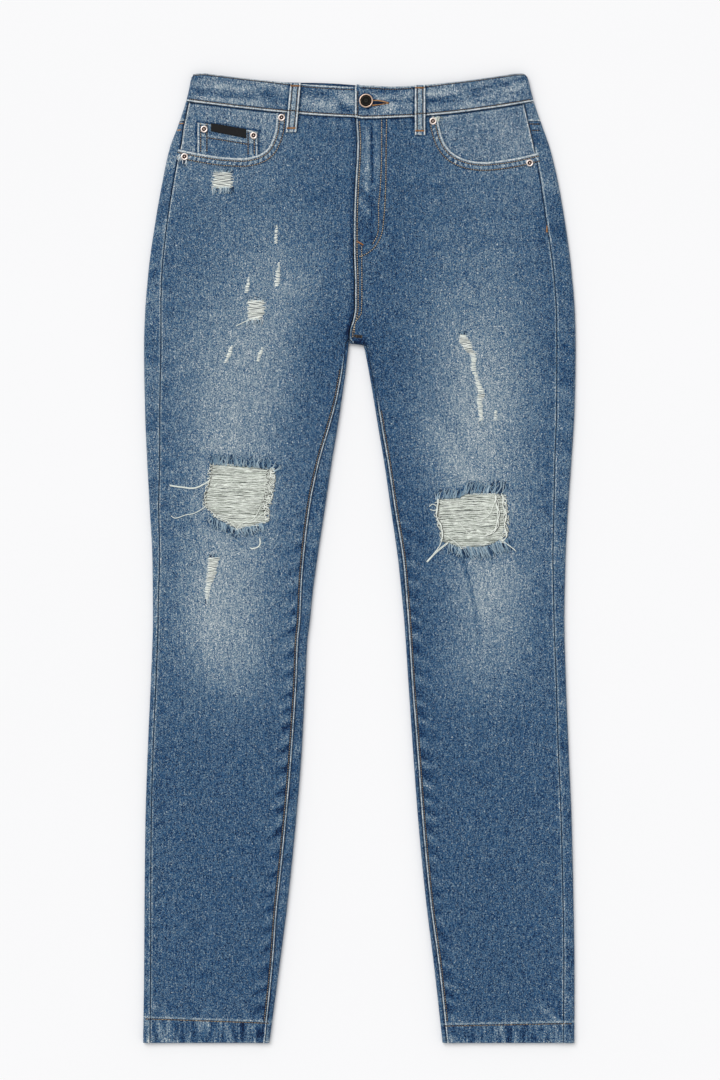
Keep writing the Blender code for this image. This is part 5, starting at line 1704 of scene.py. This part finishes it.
def knee_web(side):
    """The pale cross threads left in a worn-through knee, in three loose layers."""
    yarns, outline = Yarns(3), KNEE_HOLE[side]
    heights = [height for _, height in outline]
    for layer in WEB_LAYERS:
        for height in np.arange(min(heights) + 0.8, max(heights) - 0.4, layer.pitch):
            ends = span_at(outline, height)
            if ends is None or ends[1] - ends[0] < 6:
                continue
            low, high = ends[0] - 1.6, ends[1] + 1.6
            if RANDOM.uniform() < layer.broken:
                low, high = sorted(RANDOM.uniform(low, high, 2))
            x = np.linspace(low, high, max(5, int((high - low) / 2.6)))
            phase = RANDOM.uniform(0, 6, 4)
            wave = (0.5 * np.sin(x / 9 + phase[0]) + 0.32 * np.sin(x / 3.1 + phase[1])
                    + 0.8 * np.sin(height / 9 + x / 30) + RANDOM.normal(0, 0.25))
            lift = 0.35 * np.sin(x / 5 + phase[2]) + 0.3 * np.sin(x / 2.1 + phase[3]) - layer.sunk
            path = np.stack([x, height + wave, front_level(x, height) + lift], axis=1)
            path[[0, -1], 2] -= 0.5
            shade = layer.pale + (6 if side == "right" else -4) + RANDOM.normal(0, 14)
            # a few threads are painted dark, as the shade in the gaps between them
            shade = shade - 100 * (RANDOM.uniform() < 0.08) + RANDOM.normal(0, 18, len(path))
            yarns.add(path, RANDOM.uniform(0.42, 0.60), shade)
    item = yarns.build("knee_web_" + side + "_threads", WEFT, "weft_yarn")
    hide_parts("knee_web_" + side)
    return item


def fringe(yarns, ground, line, way, every, shades=(104, 206), curl=2.2):
    """Frayed ends lying on the cloth beside a torn edge, each bent to one side.

    A third of them are dark, unfaded ends that are also the painted shade between the pale ones, and
    lie lower.
    """
    for x, height in spaced(line, every):
        size = RANDOM.uniform(0.55, 1.1)
        reach = size * (np.array(way, float) + RANDOM.normal(0, 1.9, 2) * (1, 0.4))
        aside = curl * RANDOM.normal(0, 0.6) * np.array([-reach[1], reach[0]]) / np.hypot(*reach)
        start = np.array([x, height]) + RANDOM.normal(0, 0.4, 2)
        path = np.array([start - 0.12 * reach, start + 0.5 * reach + aside, start + reach])
        dark_end = RANDOM.uniform() < 0.34
        path = ground.lay(spaced(smooth_line(path, 4), 1.5), 0.1 if dark_end else 0.5)
        path[:, 2] = np.maximum(path[:, 2], path[:, 2].max() - 0.8)
        shade = RANDOM.uniform(*((10, 50) if dark_end else shades))
        yarns.add(path, np.linspace(0.56, 0.336, len(path)), shade)


def curls(yarns, ground, line, every, size):
    """Small loops of slack thread along the side of a hole, each with a dark thread under it as its
    painted shadow.
    """
    for x, height in spaced(line, every):
        turn = RANDOM.uniform(0, 6.3) + np.linspace(0, RANDOM.uniform(3.6, 5.6), 9)
        reach = size * RANDOM.uniform(0.45, 1.0)
        ring = np.stack([x + reach * np.cos(turn), height + 0.8 * reach * np.sin(turn)], axis=1)
        ring = ring + np.linspace(-1, 1, 9)[:, None] * RANDOM.normal(0, 1.0, 2)
        path = ground.lay(ring, 0.4)
        path[:, 2] = np.maximum(path[:, 2], front_level(path[:, 0], path[:, 1]) + 0.2)
        yarns.add(path, RANDOM.uniform(0.30, 0.42), 232 + RANDOM.normal(0, 18))
        # a dark thread under the loop, painted as its shadow
        yarns.add(path + (0.55, -0.55, -0.45), 0.5, 15)


def rip(pale, blue, ground, stations):
    """Threads across a small rip, each with its shadow, and frayed ends above and below."""
    rows = np.array(stations, float)
    for height in np.arange(rows[-1, 1], rows[0, 1], 1.4):
        x, wide = (np.interp(height, rows[::-1, 1], rows[::-1, k]) for k in (0, 2))
        wide = wide * RANDOM.uniform(0.75, 1.08) / 2
        x = x + RANDOM.normal(0, 0.35)
        path = np.linspace((x - wide, height), (x + wide, height), max(4, int(wide / 1.2)))
        path[:, 1] += 0.3 * np.sin(path[:, 0] / 2.6 + RANDOM.uniform(0, 6))
        path = ground.lay(path, 0.15)
        path[1:-1, 2] += 0.25
        path[[0, -1], 2] -= 0.35
        pale.add(path, RANDOM.uniform(0.38, 0.64), 252 + RANDOM.normal(0, 24))
        if wide > 4:
            blue.add(path - (0, 0.78, 0.32), 0.46, 10)
    if rows[:, 2].max() > 8:
        for row, way, every, shades in ((rows[0], 3.5, 1.0, (104, 206)),
                                        (rows[-1], -6.5, 0.9, (150, 245))):
            x, height, wide = row
            edge = [(x - wide / 2, height), (x + wide / 2, height)]
            fringe(blue, ground, edge, (0, way), every, shades)


def bundle(yarns, ground, points, count, spread):
    """Slack threads twisted together, each with its shadow."""
    for _ in range(count):
        line = spaced(smooth_line(points, 6), 1.6)
        sway = np.arange(len(line)) / 2.4 + RANDOM.uniform(0, 6)
        line = line + spread * paired(np.sin(sway), 0.5 * np.cos(0.7 * sway))
        path = ground.lay(line, 0.4)
        path[:, 2] = np.maximum(path[:, 2], 2 * FOLD + 0.2 + 0.3 * np.sin(1.7 * sway))
        yarns.add(path, RANDOM.uniform(0.32, 0.44), 232 + RANDOM.normal(0, 18))
        yarns.add(path + (0.6, -0.2, -0.45), 0.45, 20)


def torn_threads(ground):
    """Threads across the small rips, and every frayed or loose end, with dark threads painted as their
    shadows.
    """
    pale, blue = Yarns(5), Yarns(4)
    for stations in RIPS:
        rip(pale, blue, ground, stations)
    for points in LOOSE:
        path = ground.lay(spaced(smooth_line(points, 6), 1.2), 0.55)
        path[:, 2] = np.maximum(path[:, 2], front_level(path[:, 0], path[:, 1]) + 0.35)
        pale.add(path, 0.46, 222)
    for fray in FRINGES:
        fringe(blue, ground, fray.line, fray.way, fray.every, curl=fray.curl)
    for line, every, size in CURLS:
        curls(pale, ground, line, every, size)
    for points, count, spread in BUNDLES:
        bundle(pale, ground, points, count, spread)
    fringe(blue, ground, [(-199, 977), (-196, 973), (-190, 970)], (-1, -6), 0.7, (150, 250))
    fringe(pale, ground, [(81, 1018), (88, 1018)], (0, -4), 0.7, (150, 210))
    return [pale.build("torn_weft_threads", WEFT, "weft_yarn"),
            blue.build("frayed_warp_ends", WARP_AND_SHADE, "denim")]


# ---------------------------------------------------------------- the set

VIEW_TALL = 1.188                    # metres that the picture shows from bottom to top
VIEW_MIDDLE = 0.5535                 # height above the hems at its middle, in metres
LENS, SENSOR = 100.0, 36.0
CLOTH_TOP = 0.0065                   # the level at which the picture shows that much, in metres


def camera_and_light():
    """A long lens straight above, and soft daylight from the upper left."""
    scene = bpy.context.scene
    eye = bpy.data.objects.new("camera", bpy.data.cameras.new("camera"))
    eye.data.lens = LENS
    eye.data.clip_end = 100.0
    eye.location = (0.0, VIEW_MIDDLE - LENGTH * MM / 2, VIEW_TALL / SENSOR * LENS + CLOTH_TOP)
    scene.collection.objects.link(eye)
    scene.camera = eye
    sun = bpy.data.objects.new("sun", bpy.data.lights.new("sun", "SUN"))
    sun.data.energy = 1.55
    sun.data.angle = math.radians(40)
    sun.rotation_mode = "QUATERNION"
    sun.rotation_quaternion = Vector((0.42, -0.52, -0.9)).to_track_quat("-Z", "Y")
    scene.collection.objects.link(sun)
    scene.world = bpy.data.worlds.new("studio")
    scene.world.use_nodes = True
    background = scene.world.node_tree.nodes["Background"]
    background.inputs["Color"].default_value = (1.0, 1.0, 1.0, 1.0)
    background.inputs["Strength"].default_value = 0.62
    scene.view_settings.view_transform = "Standard"


FLOOR_LEVEL = -0.4                   # just under the cloth, in millimetres
FLOOR_REACH = 30.0                   # from the middle to each side, in metres


def floor():
    n = Nodes("floor", roughness=0.9, specular=0.1)
    n.ramp(n.noise((3, 3, 3)), [(0.0, (247, 247, 248)), (1.0, (249, 249, 250))])
    vertices = np.array([(-1, -1), (1, -1), (1, 1), (-1, 1)]) * FLOOR_REACH / MM
    vertices = np.c_[vertices[:, 0], vertices[:, 1] + LENGTH / 2, np.full(4, FLOOR_LEVEL)]
    item = make_object("floor", vertices, [[0, 1, 2, 3]], n.material, smooth=False)


def main():
    camera_and_light()
    floor()
    made, lies_on = {}, {}
    for side in SIDES:
        for make, under in ((front_leg, ["back_leg_" + side]), (back_leg, ["floor"]),
                            (yoke, ["floor"]), (pocket_facing, ["back_leg_" + side, "yoke_" + side]),
                            (pocket_hem, ["front_leg_" + side]), (back_pocket, ["floor"])):
            name = make.__name__ + "_" + side
            made[name], lies_on[name] = make(side), under
    for make, under in ((waistband, "floor"), (coin_pocket, "pocket_facing_right"),
                        (coin_label, "coin_pocket"), (fly_underlap, "back_leg_left")):
        made[make.__name__], lies_on[make.__name__] = make(), [under]
    for loop in LOOPS:
        made[loop.name] = belt_loop(loop)
        lies_on[loop.name] = ["waistband"] if loop.face == "front" else ["floor"]
    for name, (item, _) in made.items():
        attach(item, "root")
        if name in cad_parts:
            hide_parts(name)
    ground = Ground([item for item, _ in made.values()])
    rivets()
    button()
    webs = {side: knee_web(side) for side in SIDES}
    on_it = {"front_leg_left": [webs["left"], *front_stitches(ground), *torn_threads(ground)],
             "front_leg_right": [webs["right"]], "back_leg_left": back_stitches(ground)}
    for name, piece in made.items():
        under = [made[low][0] if low in made else low for low in lies_on[name]]


main()
